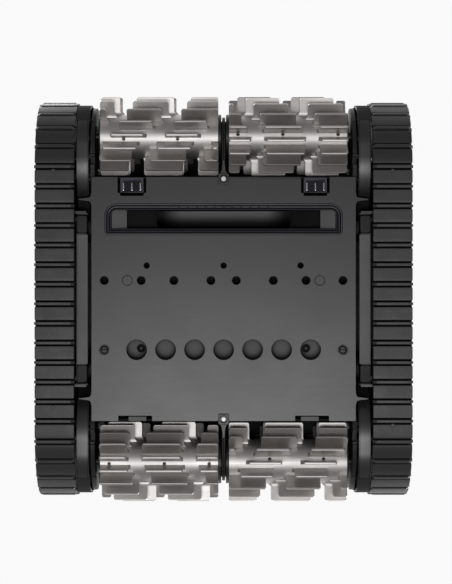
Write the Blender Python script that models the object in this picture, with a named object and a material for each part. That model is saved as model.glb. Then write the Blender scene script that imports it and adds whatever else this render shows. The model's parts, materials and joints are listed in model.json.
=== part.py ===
"""Tracked pool-cleaning robot: two rubber tracks, four bladed brush rollers and a hollow body.

Metres, +Z up. The robot stands on its tracks at Z = 0, centred on X and Y.
Its front, where the suction slot is, faces -Y, and +X is its own left.
"""

import math

import bmesh
import bpy
from mathutils import Matrix, Vector
from mathutils.geometry import tessellate_polygon

GAP = 0.0003  # between pieces that rest on or beside each other

# Tracks
WHEEL_Y = 0.1516
WHEEL_Z = 0.088
BELT_TOP_R = 0.088  # over the narrow bars
PAD_TOP_R = 0.0872
BAND_R = 0.082  # floor of the grooves between the lugs
BELT_INNER_R = 0.077
NEUTRAL_R = 0.0795
PITCHES = 48
LUG_OFFSET = 0.0056
BAR_HALF = 0.00135
GROOVE = 0.0025
DRAFT = 0.0003
BELT_X = (0.176, 0.2237)
INNER_ARC_STEPS = 24

# Track wheels and the gear moulded on each one's inner face
WHEEL_R = 0.0764
WHEEL_BORE_R = 0.0085
AXLE_R = 0.008
AXLE_X = (0.1503, 0.2105)
GEAR_X = (0.160, 0.168)
MODULE = 0.0039
WHEEL_TEETH = 18
PINION_TEETH = 12
ADDENDUM = 0.0032
DEDENDUM = 0.0043
BACKLASH = 0.0005
PRESSURE = math.radians(20)

# Brush rollers
CENTRE_DISTANCE = MODULE * (WHEEL_TEETH + PINION_TEETH) / 2
ROLLER_Z = 0.0488
ROLLER_Y = WHEEL_Y + math.sqrt(CENTRE_DISTANCE**2 - (WHEEL_Z - ROLLER_Z) ** 2)
ROLLER_X = (0.0063, 0.1485)
ROLLER_LENGTH = ROLLER_X[1] - ROLLER_X[0]
ROLLER_MIDDLE = sum(ROLLER_X) / 2
TIP_R = 0.0477
DRUM_R = 0.0267
SLEEVE_BORE_R = 0.0233
CORE_R = 0.0228
FLANGE_R = 0.0265
BLADES = 18
BLADE_THICKNESS = 0.0028
BLADE_END_TAPER = 0.0025
SHORTEST_BLADE = 0.006
CHANNEL_PITCH = 0.0646  # along the roller, between the bare channels
CHANNEL_WIDTH = 0.0194
CHANNEL_SWAY = 0.0285
CHANNEL_MIDDLE = 0.0025
# Angle by which each front sleeve is turned on its core; the rear ones are set half a turn round Z.
SLEEVE_TURN = {"r": math.radians(121.5), "l": math.radians(-6.2)}

# Bottom plate
PLATE_X = 0.1566
PLATE_Y = 0.1446
PLATE_Z = (0.014, 0.018)
RIB_Y = 0.118
RIB_X = 0.171
SLOT_Y = (-0.113, -0.0757)
SLOT_X = 0.1409
MOUTH_Y = (-0.1056, -0.0824)
MOUTH_X = 0.1327
CUP_PITCH = 0.0343
CUP_Y = 0.060
CUP_R = 0.012
CUP_DEPTH = 0.0085
VENT_Y = -0.0219
VENT_X = (0.015, 0.0588, 0.0975, 0.1412)
VENT_R = 0.0048
PIN_HOLE_Y = -0.0396
PIN_HOLE_X = 0.091
PIN_HOLE_R = 0.0033
PLATE_SCREW_X = 0.1412
CUP_SCREW = (0.0977, 0.0584)
LATCH_X = (0.0915, 0.1255)
LATCH_STEP = 0.003
LATCH_RECESS_Y = (-0.1254, -0.122)
LATCH_TRAVEL = 0.0035
CLIP_X = (0.0845, 0.1247)
CLIP_Y = 0.138

# Hull
WALL = 0.003
TUB_X = 0.150
TUB_Y = 0.145
TUB_TOP = 0.1017
TUB_FLOOR = 0.038
HOOD_Y = 0.218
HOOD_X = 0.147
ARM_X = (0.1505, 0.1566)
COVER_X = 0.173
COVER_DISC = (0.180, 0.068, 0.054)  # Y, Z and radius of the round brush gear cover
COVER_REAR_R = 0.0410
FRAME_X = (0.162, 0.219)
FRAME_Y = 0.104
FRAME_Z = (0.0155, 0.1605)
FRAME_ARC_R = 0.080

# Upper shell: height, half width, half length and corner radius of each section
SHELL = (
    (0.102, 0.147, 0.2170, 0.040),
    (0.130, 0.149, 0.2215, 0.044),
    (0.1335, 0.161, 0.2220, 0.052),
    (0.180, 0.161, 0.2190, 0.054),
    (0.1845, 0.199, 0.2180, 0.075),
    (0.218, 0.191, 0.2080, 0.078),
    (0.233, 0.168, 0.1900, 0.070),
    (0.240, 0.126, 0.1660, 0.056),
)
LID_X = 0.104
LID_Y = (-0.140, 0.062)
LID_Z = (0.2365, 0.2425)
LID_HINGE = (0.068, 0.2448)
HANDLE_Y = 0.118
HANDLE_TOP = 0.281
HANDLE_X = 0.098
HANDLE_THICKNESS = 0.013
OUTLET_Z = 0.168
OUTLET_R = 0.040
BUTTON_Y = -0.157
BUTTON_R = 0.0095

COLOURS = {
    "track_rubber": ((0.020, 0.020, 0.021), 0.75, 0.0),
    "black_plastic": ((0.016, 0.016, 0.018), 0.45, 0.0),
    "plate_plastic": ((0.085, 0.085, 0.085), 0.50, 0.0),
    "brush_silver": ((0.52, 0.50, 0.48), 0.30, 0.85),
    "steel": ((0.80, 0.80, 0.80), 0.20, 1.0),
    "shell_plastic": ((0.060, 0.062, 0.066), 0.35, 0.0),
    "smoked_window": ((0.012, 0.013, 0.016), 0.06, 0.0),
    "filter_white": ((0.62, 0.65, 0.68), 0.50, 0.0),
    "accent": ((0.50, 0.40, 0.32), 0.30, 0.9),
}


def clear_scene():
    for obj in list(bpy.data.objects):
        bpy.data.objects.remove(obj)


def material(slot):
    found = bpy.data.materials.get(slot)
    if found:
        return found
    colour, roughness, metallic = COLOURS[slot]
    made = bpy.data.materials.new(slot)
    made.use_nodes = True
    shader = made.node_tree.nodes["Principled BSDF"]
    shader.inputs["Base Color"].default_value = (*colour, 1)
    shader.inputs["Roughness"].default_value = roughness
    shader.inputs["Metallic"].default_value = metallic
    return made


def piece(name, slot, bm):
    """A named object from a bmesh, its faces turned outwards."""
    bmesh.ops.recalc_face_normals(bm, faces=bm.faces)
    mesh = bpy.data.meshes.new(name)
    bm.to_mesh(mesh)
    bm.free()
    obj = bpy.data.objects.new(name, mesh)
    bpy.context.scene.collection.objects.link(obj)
    if slot:
        mesh.materials.append(material(slot))
        mesh.shade_smooth()
        mesh.set_sharp_from_angle(angle=math.radians(30))
    return obj


def boolean(target, operation, tools):
    """Cuts the tools from the target, or joins them to it, and removes them."""
    for tool in tools:
        modifier = target.modifiers.new(tool.name, "BOOLEAN")
        modifier.operation = operation
        modifier.object = tool
        modifier.solver = "EXACT"
    bpy.context.view_layer.update()
    graph = bpy.context.evaluated_depsgraph_get()
    shaped = bpy.data.meshes.new_from_object(target.evaluated_get(graph))
    target.modifiers.clear()
    target.data = shaped
    for tool in tools:
        bpy.data.objects.remove(tool)
    return target


def cut(target, *tools):
    return boolean(target, "DIFFERENCE", tools)


def join(target, *tools):
    return boolean(target, "UNION", tools)


def at(axis, along, u, v):
    """The point with that value along the axis and u, v along the other two, in X, Y, Z order."""
    return {"x": (along, u, v), "y": (u, along, v), "z": (u, v, along)}[axis]


def prism(axis, span, outline, slot=None, name="tool", hole=None):
    """An outline, with an optional hole, extruded along an axis."""
    loops = [outline] + ([hole] if hole else [])
    bm = bmesh.new()
    ends = [
        [[bm.verts.new(at(axis, along, *p)) for p in loop] for loop in loops]
        for along in span
    ]
    flat = [[Vector((*p, 0)) for p in loop] for loop in loops]
    triangles = tessellate_polygon(flat)
    for end in ends:
        points = [vert for loop in end for vert in loop]
        for triangle in triangles:
            bm.faces.new([points[i] for i in triangle])
    for low, high in zip(*ends):
        for i in range(len(low)):
            j = (i + 1) % len(low)
            bm.faces.new((low[i], low[j], high[j], high[i]))
    return piece(name, slot, bm)


def box(x, y, z, slot=None, name="tool"):
    return prism("z", z, [(x[0], y[0]), (x[1], y[0]), (x[1], y[1]), (x[0], y[1])], slot, name)


def arc(u, v, radius, start, end, steps):
    """Points on a circle from one angle to another, in degrees, both ends included."""
    angles = [math.radians(start + (end - start) * i / steps) for i in range(steps + 1)]
    return [(u + radius * math.cos(a), v + radius * math.sin(a)) for a in angles]


def circle(u, v, radius, steps=16):
    return arc(u, v, radius, 0, 360, steps)[:-1]


def rounded(u, v, radii, steps=3):
    """A rectangle over u and v with corner radii from its low-u low-v corner, anticlockwise."""
    corners = ((0, 0, 180), (1, 0, 270), (1, 1, 0), (0, 1, 90))
    points = []
    for (i, j, start), radius in zip(corners, radii):
        cu = u[i] + (radius if i == 0 else -radius)
        cv = v[j] + (radius if j == 0 else -radius)
        points += arc(cu, cv, radius, start, start + 90, steps)
    return points


def disc(axis, span, u, v, radius, slot=None, name="tool", steps=16):
    return prism(axis, span, circle(u, v, radius, steps), slot, name)


def lathe(axis, profile, u, v, slot=None, name="tool", steps=16, closed=False):
    """Turns (along, radius) points round an axis through u, v. A closed profile makes a ring."""
    bm = bmesh.new()
    rings = []
    for along, radius in profile:
        if radius == 0:
            rings.append([bm.verts.new(at(axis, along, u, v))])
        else:
            rings.append([bm.verts.new(at(axis, along, *p)) for p in circle(u, v, radius, steps)])
    pairs = list(zip(rings, rings[1:] + rings[:1]))
    for low, high in pairs if closed else pairs[:-1]:
        for i in range(steps):
            j = (i + 1) % steps
            corners = [low[i % len(low)], low[j % len(low)], high[j % len(high)], high[i % len(high)]]
            bm.faces.new(list(dict.fromkeys(corners)))
    return piece(name, slot, bm)


def hull(outlines):
    """The convex outline round several outlines, anticlockwise."""
    points = sorted({(round(u, 9), round(v, 9)) for outline in outlines for u, v in outline})

    def chain(ordered):
        kept = []
        for p in ordered:
            while len(kept) > 1 and turn(kept[-2], kept[-1], p) <= 0:
                kept.pop()
            kept.append(p)
        return kept[:-1]

    return chain(points) + chain(points[::-1])


def turn(a, b, c):
    return (b[0] - a[0]) * (c[1] - a[1]) - (b[1] - a[1]) * (c[0] - a[0])


def mirrored(span, side):
    return tuple(sorted(side * x for x in span))


# ---------------------------------------------------------------- tracks


def belt_point(s, radius):
    """Y and Z of a point at distance s along the neutral line from the middle of the lower run."""
    turn_length = math.pi * NEUTRAL_R
    s %= 4 * WHEEL_Y + 2 * turn_length
    if s <= WHEEL_Y:
        return s, WHEEL_Z - radius
    s -= WHEEL_Y
    if s <= turn_length:
        angle = s / NEUTRAL_R
        return WHEEL_Y + radius * math.sin(angle), WHEEL_Z - radius * math.cos(angle)
    s -= turn_length
    if s <= 2 * WHEEL_Y:
        return WHEEL_Y - s, WHEEL_Z + radius
    s -= 2 * WHEEL_Y
    if s <= turn_length:
        angle = s / NEUTRAL_R
        return -WHEEL_Y - radius * math.sin(angle), WHEEL_Z + radius * math.cos(angle)
    return s - turn_length - WHEEL_Y, WHEEL_Z - radius


def belt_outline():
    """The toothed outside of the belt: a narrow bar and a wide pad in each pitch."""
    pitch = (4 * WHEEL_Y + 2 * math.pi * NEUTRAL_R) / PITCHES
    pad = BAR_HALF + GROOVE
    lug = (
        (-BAR_HALF - DRAFT, BAND_R),
        (-BAR_HALF, BELT_TOP_R),
        (BAR_HALF, BELT_TOP_R),
        (BAR_HALF + DRAFT, BAND_R),
        (pad, BAND_R),
        (pad + DRAFT, PAD_TOP_R),
        (pitch - pad - DRAFT, PAD_TOP_R),
        (pitch - pad, BAND_R),
    )
    return [
        belt_point(LUG_OFFSET + i * pitch + s, radius) for i in range(PITCHES) for s, radius in lug
    ]


def belt_inside():
    front = arc(-WHEEL_Y, WHEEL_Z, BELT_INNER_R, 90, 270, INNER_ARC_STEPS)
    return front + arc(WHEEL_Y, WHEEL_Z, BELT_INNER_R, -90, 90, INNER_ARC_STEPS)


def gear_outline(teeth, centre, tooth_angle):
    """Straight-flanked teeth through the involute's points at root and tip, one tooth at tooth_angle."""
    pitch_r = MODULE * teeth / 2
    base_r = pitch_r * math.cos(PRESSURE)
    root_r, tip_r = pitch_r - DEDENDUM, pitch_r + ADDENDUM

    def half_angle(radius):
        pressure = math.acos(min(1, base_r / radius))
        at_pitch = math.pi / (2 * teeth) - BACKLASH / 4 / pitch_r
        return at_pitch + math.tan(PRESSURE) - PRESSURE - math.tan(pressure) + pressure

    points = []
    for i in range(teeth):
        middle = tooth_angle + 2 * math.pi * i / teeth
        for radius, side in ((root_r, -1), (tip_r, -1), (tip_r, 1), (root_r, 1)):
            angle = middle + side * half_angle(radius)
            points.append((centre[0] + radius * math.cos(angle), centre[1] + radius * math.sin(angle)))
    return points


def mesh_line(end):
    """Angle, in the YZ plane, from a wheel's axis to its roller's axis."""
    return math.atan2(ROLLER_Z - WHEEL_Z, end * (ROLLER_Y - WHEEL_Y))


def track_wheel(name, side, end):
    """A hollow-faced wheel with its brush gear in one moulding."""
    centre = (end * WHEEL_Y, WHEEL_Z)
    profile = (
        (0.1590, WHEEL_BORE_R),
        (0.1590, 0.020),
        (0.1805, 0.020),
        (0.1805, WHEEL_R),
        (0.2180, WHEEL_R),
        (0.2180, 0.070),
        (0.1960, 0.067),
        (0.1960, 0.026),
        (0.2100, 0.022),
        (0.2100, WHEEL_BORE_R),
    )
    wheel = lathe(
        "x", [(side * x, r) for x, r in profile], *centre, "black_plastic", name, 20, closed=True
    )
    gear = prism(
        "x",
        mirrored(GEAR_X, side),
        gear_outline(WHEEL_TEETH, centre, mesh_line(end)),
        hole=circle(*centre, 0.016, 12)[::-1],
    )
    return join(wheel, gear)


def wheel_set(side, end, corner):
    centre = (end * WHEEL_Y, WHEEL_Z)
    track_wheel("track_wheel_" + corner, side, end)
    disc("x", mirrored(AXLE_X, side), *centre, AXLE_R, "steel", "wheel_axle_" + corner, 12)
    cap = ((0.2109, 0), (0.2109, 0.0235), (0.2150, 0.0225), (0.2170, 0.017), (0.2170, 0))
    lathe("x", [(side * x, r) for x, r in cap], *centre, "accent", "hub_cap_" + corner, 12)


def track_frame(side, name):
    """The hollow beam between two wheels, hollowed from the hull's side, with its foot on the hull."""

    def outline(inset):
        y, radius = FRAME_Y - inset, FRAME_ARC_R + inset
        low, high = FRAME_Z[0] + inset, FRAME_Z[1] - inset
        reach = math.degrees(math.acos((WHEEL_Y - y) / radius))
        right = arc(WHEEL_Y, WHEEL_Z, radius, 180 + reach, 180 - reach, 8)
        left = arc(-WHEEL_Y, WHEEL_Z, radius, reach, -reach, 8)
        return [(-y, low), (y, low), *right, (y, high), (-y, high), *left]

    frame = prism("x", mirrored(FRAME_X, side), outline(0), "plate_plastic", name)
    cut(frame, prism("x", mirrored((0.161, 0.216), side), outline(WALL)))
    foot = box(mirrored((TUB_X + GAP, 0.2175), side), (-0.045, 0.045), (0.045, 0.098))
    return join(frame, foot)


def belt(side, name):
    prism("x", mirrored(BELT_X, side), belt_outline(), "track_rubber", name, hole=belt_inside())


# ---------------------------------------------------------------- brush rollers


def roller_angle(phi):
    """Turns an angle from straight down towards the robot's end into one from +Y towards +Z."""
    return -math.pi / 2 - phi


def channel(phi, turned):
    """Where the middle of a bare channel lies along the roller, and how wide it is there."""
    phase = phi - turned
    middle = CHANNEL_MIDDLE + CHANNEL_SWAY * math.cos(phase)
    slope = CHANNEL_SWAY * math.sin(phase) / DRUM_R
    return middle, CHANNEL_WIDTH * math.sqrt(1 + slope**2)


def blade_spans(phi, turned):
    """The lengths of roller that one row of blades covers, between the bare channels."""
    middle, width = channel(phi, turned)
    half = ROLLER_LENGTH / 2
    for n in range(-2, 3):
        low = max(middle + n * CHANNEL_PITCH + width / 2, -half)
        high = min(middle + (n + 1) * CHANNEL_PITCH - width / 2, half)
        if high - low > SHORTEST_BLADE:
            yield low, high


def blade(low, high, phi):
    """One blade about the X axis: a plate that stands on the drum and is shorter at its tip."""
    half = ROLLER_LENGTH / 2
    taper_low = BLADE_END_TAPER if low > -half else 0
    taper_high = BLADE_END_TAPER if high < half else 0
    root_r = DRUM_R - 0.0015
    outline = [(low, root_r), (high, root_r), (high - taper_high, TIP_R), (low + taper_low, TIP_R)]
    plate = prism("y", (-BLADE_THICKNESS / 2, BLADE_THICKNESS / 2), outline)
    plate.data.transform(Matrix.Rotation(roller_angle(phi) - math.pi / 2, 4, "X"))
    return plate


def brush_sleeve(name, side, end):
    """A drum with 18 rows of blades. Diagonally opposite rollers match when turned half round Z."""
    front_side = "l" if side * end < 0 else "r"
    turned = SLEEVE_TURN[front_side]
    half = ROLLER_LENGTH / 2
    ring = ((-half, SLEEVE_BORE_R), (-half, DRUM_R), (half, DRUM_R), (half, SLEEVE_BORE_R))
    sleeve = lathe("x", ring, 0, 0, "brush_silver", name, BLADES, closed=True)
    sleeve.data.transform(Matrix.Rotation(roller_angle(turned) + math.pi / BLADES, 4, "X"))
    blades = []
    for i in range(BLADES):
        phi = turned + 2 * math.pi * i / BLADES
        blades += [blade(low, high, phi) for low, high in blade_spans(phi, turned)]
    join(sleeve, *blades)
    if end > 0:
        sleeve.data.transform(Matrix.Rotation(math.pi, 4, "Z"))
    sleeve.data.transform(Matrix.Translation((side * ROLLER_MIDDLE, end * ROLLER_Y, ROLLER_Z)))
    return sleeve


def roller_set(side, end, corner):
    centre = (end * ROLLER_Y, ROLLER_Z)
    brush_sleeve("brush_sleeve_" + corner, side, end)
    core = (
        (0.0006, 0),
        (0.0006, 0.005),
        (0.0030, 0.005),
        (0.0030, FLANGE_R),
        (ROLLER_X[0] - GAP, FLANGE_R),
        (ROLLER_X[0] - GAP, CORE_R),
        (ROLLER_X[1] + GAP, CORE_R),
        (ROLLER_X[1] + GAP, FLANGE_R),
        (0.1500, FLANGE_R),
        (0.1500, 0.006),
        (0.1700, 0.006),
        (0.1700, 0),
    )
    lathe(
        "x", [(side * x, r) for x, r in core], *centre, "black_plastic", "brush_core_" + corner, 12
    )
    gap_angle = mesh_line(end) + math.pi + math.pi / PINION_TEETH
    prism(
        "x",
        mirrored(GEAR_X, side),
        gear_outline(PINION_TEETH, centre, gap_angle),
        "filter_white",
        "brush_pinion_" + corner,
        hole=circle(*centre, 0.0064, 12)[::-1],
    )


def gear_cover(side, end, corner):
    """The round cover beside a roller: an arm that holds both shafts, and a cup round the gears."""
    wheel = (end * WHEEL_Y, WHEEL_Z)
    roller = (end * ROLLER_Y, ROLLER_Z)
    disc_y, disc_z, disc_r = COVER_DISC
    front = circle(end * disc_y, disc_z, disc_r, 24)
    outline = hull([front, circle(*wheel, COVER_REAR_R, 20)])
    cover = prism("x", mirrored((ARM_X[0], COVER_X), side), outline, "black_plastic", "gear_cover_" + corner)
    inside = mirrored((0.1583, COVER_X + 0.001), side)
    through = mirrored((ARM_X[0] - 0.001, 0.160), side)
    return cut(
        cover,
        disc("x", inside, *wheel, 0.0395, steps=20),
        disc("x", inside, *roller, 0.0282, steps=16),
        disc("x", through, *wheel, AXLE_R + 0.0005, steps=12),
        disc("x", through, *roller, 0.0068, steps=12),
    )


def centre_bracket(end, name, screw_name):
    """The rib that holds the inner ends of two rollers, with a screwed foot under the plate."""
    roller = (end * ROLLER_Y, ROLLER_Z)
    wall = end * (TUB_Y + GAP)
    arm = [(wall, 0.0114), (wall, 0.070)]
    rib = prism("x", (-0.0022, 0.0022), hull([circle(*roller, 0.023, 24), arm]), "black_plastic", name)
    foot_y = tuple(sorted((end * 0.1478, end * 0.1372)))
    join(rib, box((-0.005, 0.005), foot_y, (0.0114, 0.0137)))
    cut(
        rib,
        disc("x", (-0.003, 0.003), *roller, 0.0055),
        disc("z", (0.0110, 0.0140), 0, end * 0.1420, 0.0016, steps=12),
    )
    head = ((0.0098, 0), (0.0098, 0.0014), (0.0105, 0.0022), (0.0111, 0.0022), (0.0111, 0.0012))
    shank = ((0.0178, 0.0012), (0.0178, 0))
    lathe("z", head + shank, 0, end * 0.1420, "steel", screw_name, 12)


# ---------------------------------------------------------------- underside


def bottom_plate():
    """The flat plate with its side ribs, suction opening, cups, vents and latch recesses."""
    x, y, rib = PLATE_X, PLATE_Y, 0.0008
    corner = [
        (x, RIB_Y - 0.007),
        (x + 0.0022, RIB_Y - 0.0022),
        (RIB_X, RIB_Y - rib),
        (RIB_X, RIB_Y + rib),
        (x + 0.0022, RIB_Y + 0.0022),
        (x, RIB_Y + 0.007),
        (x, y),
    ]
    quarter = [corner, [(-u, v) for u, v in corner[::-1]]]
    outline = quarter[0] + quarter[1] + [(-u, -v) for u, v in quarter[0] + quarter[1]]
    plate = prism("z", PLATE_Z, outline, "plate_plastic", "bottom_plate")
    cups = [i * CUP_PITCH for i in range(-3, 4)]
    top = PLATE_Z[0] + CUP_DEPTH + 0.003
    join(plate, *[disc("z", (PLATE_Z[1] - 0.001, top), u, CUP_Y, CUP_R + 0.0018, steps=12) for u in cups])

    below, above = PLATE_Z[0] - 0.001, PLATE_Z[1] + 0.001
    tools = []
    for u in cups:
        bowl = (
            (below, 0),
            (below, CUP_R),
            (PLATE_Z[0] + 0.55 * CUP_DEPTH, CUP_R),
            (PLATE_Z[0] + CUP_DEPTH, 0.6 * CUP_R),
            (PLATE_Z[0] + CUP_DEPTH, 0),
        )
        tools.append(lathe("z", bowl, u, CUP_Y, steps=12))
    slot = rounded((-SLOT_X, SLOT_X), SLOT_Y, (0.012, 0.012, 0.004, 0.004))
    tools.append(prism("z", (below, above), slot))
    for side in (-1, 1):
        tools += [disc("z", (below, above), side * u, VENT_Y, VENT_R, steps=10) for u in VENT_X]
        tools.append(disc("z", (below, PLATE_Z[0] + 0.0028), side * PLATE_SCREW_X, CUP_Y, 0.0062, steps=12))
        tools.append(disc("z", (below, above), side * PLATE_SCREW_X, CUP_Y, 0.0026, steps=8))
        tools.append(disc("z", (below, top + 0.001), side * CUP_SCREW[0], CUP_SCREW[1], 0.0026, steps=8))
        front = -PLATE_Y - 0.001
        recess = mirrored(LATCH_X, side)
        narrow = mirrored((LATCH_X[0] + LATCH_STEP, LATCH_X[1] - LATCH_STEP), side)
        tools.append(box(recess, (front, LATCH_RECESS_Y[0]), (below, above)))
        tools.append(box(narrow, (LATCH_RECESS_Y[0] - 0.001, LATCH_RECESS_Y[1]), (below, above)))
        tools.append(box(mirrored(CLIP_X, side), (CLIP_Y, PLATE_Y + 0.001), (below, above)))
    for u in (-PIN_HOLE_X, 0, PIN_HOLE_X):
        tools.append(disc("z", (below, above), u, PIN_HOLE_Y, PIN_HOLE_R, steps=8))
    for end in (-1, 1):
        tools.append(disc("z", (below, above), 0, end * 0.1420, 0.0016, steps=8))
    return cut(plate, *tools)


def suction_inlet():
    """The bezel in the plate, the stepped throat above it and the flap that shuts the throat.

    A concave wall narrows the middle of the throat to a slot along its rear side.
    """
    radii = (0.0117, 0.0117, 0.0037, 0.0037)
    outer = rounded((-SLOT_X + GAP, SLOT_X - GAP), (SLOT_Y[0] + GAP, SLOT_Y[1] - GAP), radii)
    mouth = rounded((-MOUTH_X, MOUTH_X), MOUTH_Y, (0.008, 0.008, 0.0015, 0.0015))
    prism("z", (0.0136, 0.0190), outer, "black_plastic", "suction_bezel", hole=mouth[::-1])

    throat_y = (MOUTH_Y[0] - WALL, MOUTH_Y[1] + WALL)
    throat = box((-0.136, 0.136), throat_y, (0.0193, 0.050), "black_plastic", "suction_throat")
    cut(
        throat,
        prism("z", (0.018, 0.0220), mouth),
        box((-0.114, 0.114), (MOUTH_Y[0] + GAP, MOUTH_Y[1] - GAP), (0.021, 0.034)),
        box((-0.0788, 0.0788), (MOUTH_Y[0] + GAP, MOUTH_Y[1] - GAP), (0.0330, 0.051)),
    )
    front, rear = MOUTH_Y[0] - 0.001, MOUTH_Y[0] + 0.0115
    concave = arc(rear, 0.0190, 0.0145, 180, 90, 5)
    join(throat, prism("x", (-0.0800, 0.0800), [(front, 0.0205), *concave[1:], (rear, 0.0360), (front, 0.0360)]))
    hinge_y, hinge_z = FLAP_HINGE
    flap = [
        *arc(hinge_y, hinge_z, 0.0016, 90, -90, 6),
        (-0.0995, 0.0412),
        (-0.1040, 0.0436),
        (-0.1035, 0.0450),
        (-0.0990, 0.0429),
    ]
    prism("x", (-0.0778, 0.0778), flap, "black_plastic", "inlet_flap")


FLAP_HINGE = (-0.0852, 0.0452)


def cover_latch(side, name):
    """A sliding thumb latch with three grip ribs."""
    x = mirrored((LATCH_X[0] + LATCH_STEP + GAP, LATCH_X[1] - LATCH_STEP - GAP), side)
    y = (-0.1440, LATCH_RECESS_Y[1] - LATCH_TRAVEL - GAP)
    latch = box(x, y, (0.0146, 0.0180), "black_plastic", name)
    middle = sum(x) / 2
    ribs = [
        box((middle + u - 0.0011, middle + u + 0.0011), (-0.1370, -0.1285), (0.0126, 0.0150))
        for u in (-0.0095, 0, 0.0095)
    ]
    return join(latch, *ribs)


def plate_screw(name, x, y, face, head_r):
    """A slotted screw whose head's face is at that height."""
    head = (
        (face, 0),
        (face, head_r - 0.0004),
        (face + 0.0004, head_r),
        (face + 0.0014, head_r),
        (face + 0.0014, 0.0021),
        (face + 0.0150, 0.0021),
        (face + 0.0150, 0),
    )
    screw = lathe("z", head, x, y, "steel", name, 10)
    return cut(screw, box((x - 0.010, x + 0.010), (y - 0.0006, y + 0.0006), (face - 0.001, face + 0.0008)))


# ---------------------------------------------------------------- hull and inside


def chassis_tub():
    """The deep tray on the plate, with the hoods over the rollers and the rear plate hooks."""
    tub = box((-TUB_X, TUB_X), (-TUB_Y, TUB_Y), (PLATE_Z[1] + GAP, TUB_TOP), "black_plastic", "chassis_tub")
    hood = rounded((-HOOD_X, HOOD_X), (-HOOD_Y, HOOD_Y), (0.038,) * 4)
    hooks = [
        box(mirrored((0.092, 0.114), side), (0.1392, 0.1440), (0.0150, 0.0200)) for side in (-1, 1)
    ]
    join(tub, prism("z", (TUB_TOP - 0.0032, TUB_TOP), hood), *hooks)
    inner = ((-TUB_X + WALL, TUB_X - WALL), (-TUB_Y + WALL, TUB_Y - WALL))
    throat = ((-0.1366, 0.1366), (MOUTH_Y[0] - 0.0036, MOUTH_Y[1] + 0.0036))
    return cut(
        tub,
        box(*inner, (TUB_FLOOR + WALL, TUB_TOP + 0.001)),
        box(*inner, (PLATE_Z[1] - 0.001, TUB_FLOOR)),
        box(*throat, (TUB_FLOOR - 0.001, TUB_FLOOR + WALL + 0.001)),
    )


def loft(sections, slot=None, name="tool", steps=3):
    """A closed skin through rounded rectangles stacked along Z."""
    bm = bmesh.new()
    rings = []
    for z, x, y, radius in sections:
        outline = rounded((-x, x), (-y, y), (radius,) * 4, steps)
        rings.append([bm.verts.new((u, v, z)) for u, v in outline])
    for low, high in zip(rings, rings[1:]):
        for i in range(len(low)):
            j = (i + 1) % len(low)
            bm.faces.new((low[i], low[j], high[j], high[i]))
    bm.faces.new(rings[0])
    bm.faces.new(rings[-1])
    return piece(name, slot, bm)


def upper_shell():
    shell = loft(SHELL, "shell_plastic", "upper_shell")
    inside = [
        (z + (WALL if z < 0.2 else -WALL), x - WALL, y - WALL, r - WALL) for z, x, y, r in SHELL
    ]
    inside[0] = (SHELL[0][0] - 0.001, *inside[0][1:])
    lid = rounded((-LID_X, LID_X), LID_Y, (0.020,) * 4)
    return cut(
        shell,
        loft(inside),
        prism("z", (0.230, 0.250), lid),
        disc("z", (0.225, 0.250), 0, BUTTON_Y, BUTTON_R + 0.0006),
        disc("y", (0.200, 0.230), 0, OUTLET_Z, OUTLET_R, steps=16),
    )


def lid_and_window():
    inset = 0.0008
    outline = rounded((-LID_X + inset, LID_X - inset), (LID_Y[0] + inset, LID_Y[1] - inset), (0.019,) * 4)
    lid = prism("z", LID_Z, outline, "shell_plastic", "top_lid")
    knuckles = []
    for side in (-1, 1):
        x = mirrored((0.050, 0.080), side)
        ears = hull([circle(*LID_HINGE, 0.0042, 12), [(LID_Y[1] - 0.006, 0.2405), (LID_Y[1] - 0.006, LID_Z[1])]])
        knuckles.append(prism("x", x, ears))
    join(lid, *knuckles)
    well = rounded((-0.072, 0.072), (-0.112, 0.026), (0.014,) * 4)
    cut(
        lid,
        prism("z", (LID_Z[1] - 0.0028, LID_Z[1] + 0.001), well),
        prism("z", (LID_Z[0] - 0.001, LID_Z[1]), rounded((-0.060, 0.060), (-0.100, 0.014), (0.010,) * 4)),
        disc("x", (-0.090, 0.090), *LID_HINGE, 0.0020, steps=12),
    )
    pane = rounded((-0.0717, 0.0717), (-0.1117, 0.0257), (0.0137,) * 4)
    prism("z", (LID_Z[1] - 0.0025, LID_Z[1] + 0.0006), pane, "smoked_window", "lid_window")
    disc("x", (-0.096, 0.096), *LID_HINGE, 0.0016, "steel", "lid_hinge_pin", 12)


def lid_hinge_seats(shell):
    """The ears on the shell that hold the lid's pin."""
    ears = []
    for side in (-1, 1):
        block = hull([circle(*LID_HINGE, 0.0042, 12), [(0.0640, 0.2385), (0.0800, 0.2385)]])
        ears.append(prism("x", mirrored((0.0806, 0.0925), side), block))
    join(shell, *ears)
    return cut(shell, disc("x", (-0.100, 0.100), *LID_HINGE, 0.0020, steps=12))


def carry_handle():
    """A rounded arch across the top, on two feet."""
    path = [
        (-HANDLE_X, 0.2403),
        (-HANDLE_X, 0.262),
        *arc(-HANDLE_X + 0.016, HANDLE_TOP - 0.016, 0.016, 180, 90, 5),
        *arc(HANDLE_X - 0.016, HANDLE_TOP - 0.016, 0.016, 90, 0, 5),
        (HANDLE_X, 0.262),
        (HANDLE_X, 0.2403),
    ]
    inner_x, inner_top, t = HANDLE_X - 0.018, HANDLE_TOP - HANDLE_THICKNESS, 0.008
    path += [
        (inner_x, 0.2403),
        *arc(inner_x - t, inner_top - t, t, 0, 90, 4),
        *arc(-inner_x + t, inner_top - t, t, 90, 180, 4),
        (-inner_x, 0.2403),
    ]
    span = (HANDLE_Y - 0.014, HANDLE_Y + 0.014)
    return prism("y", span, path, "shell_plastic", "carry_handle")


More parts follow.
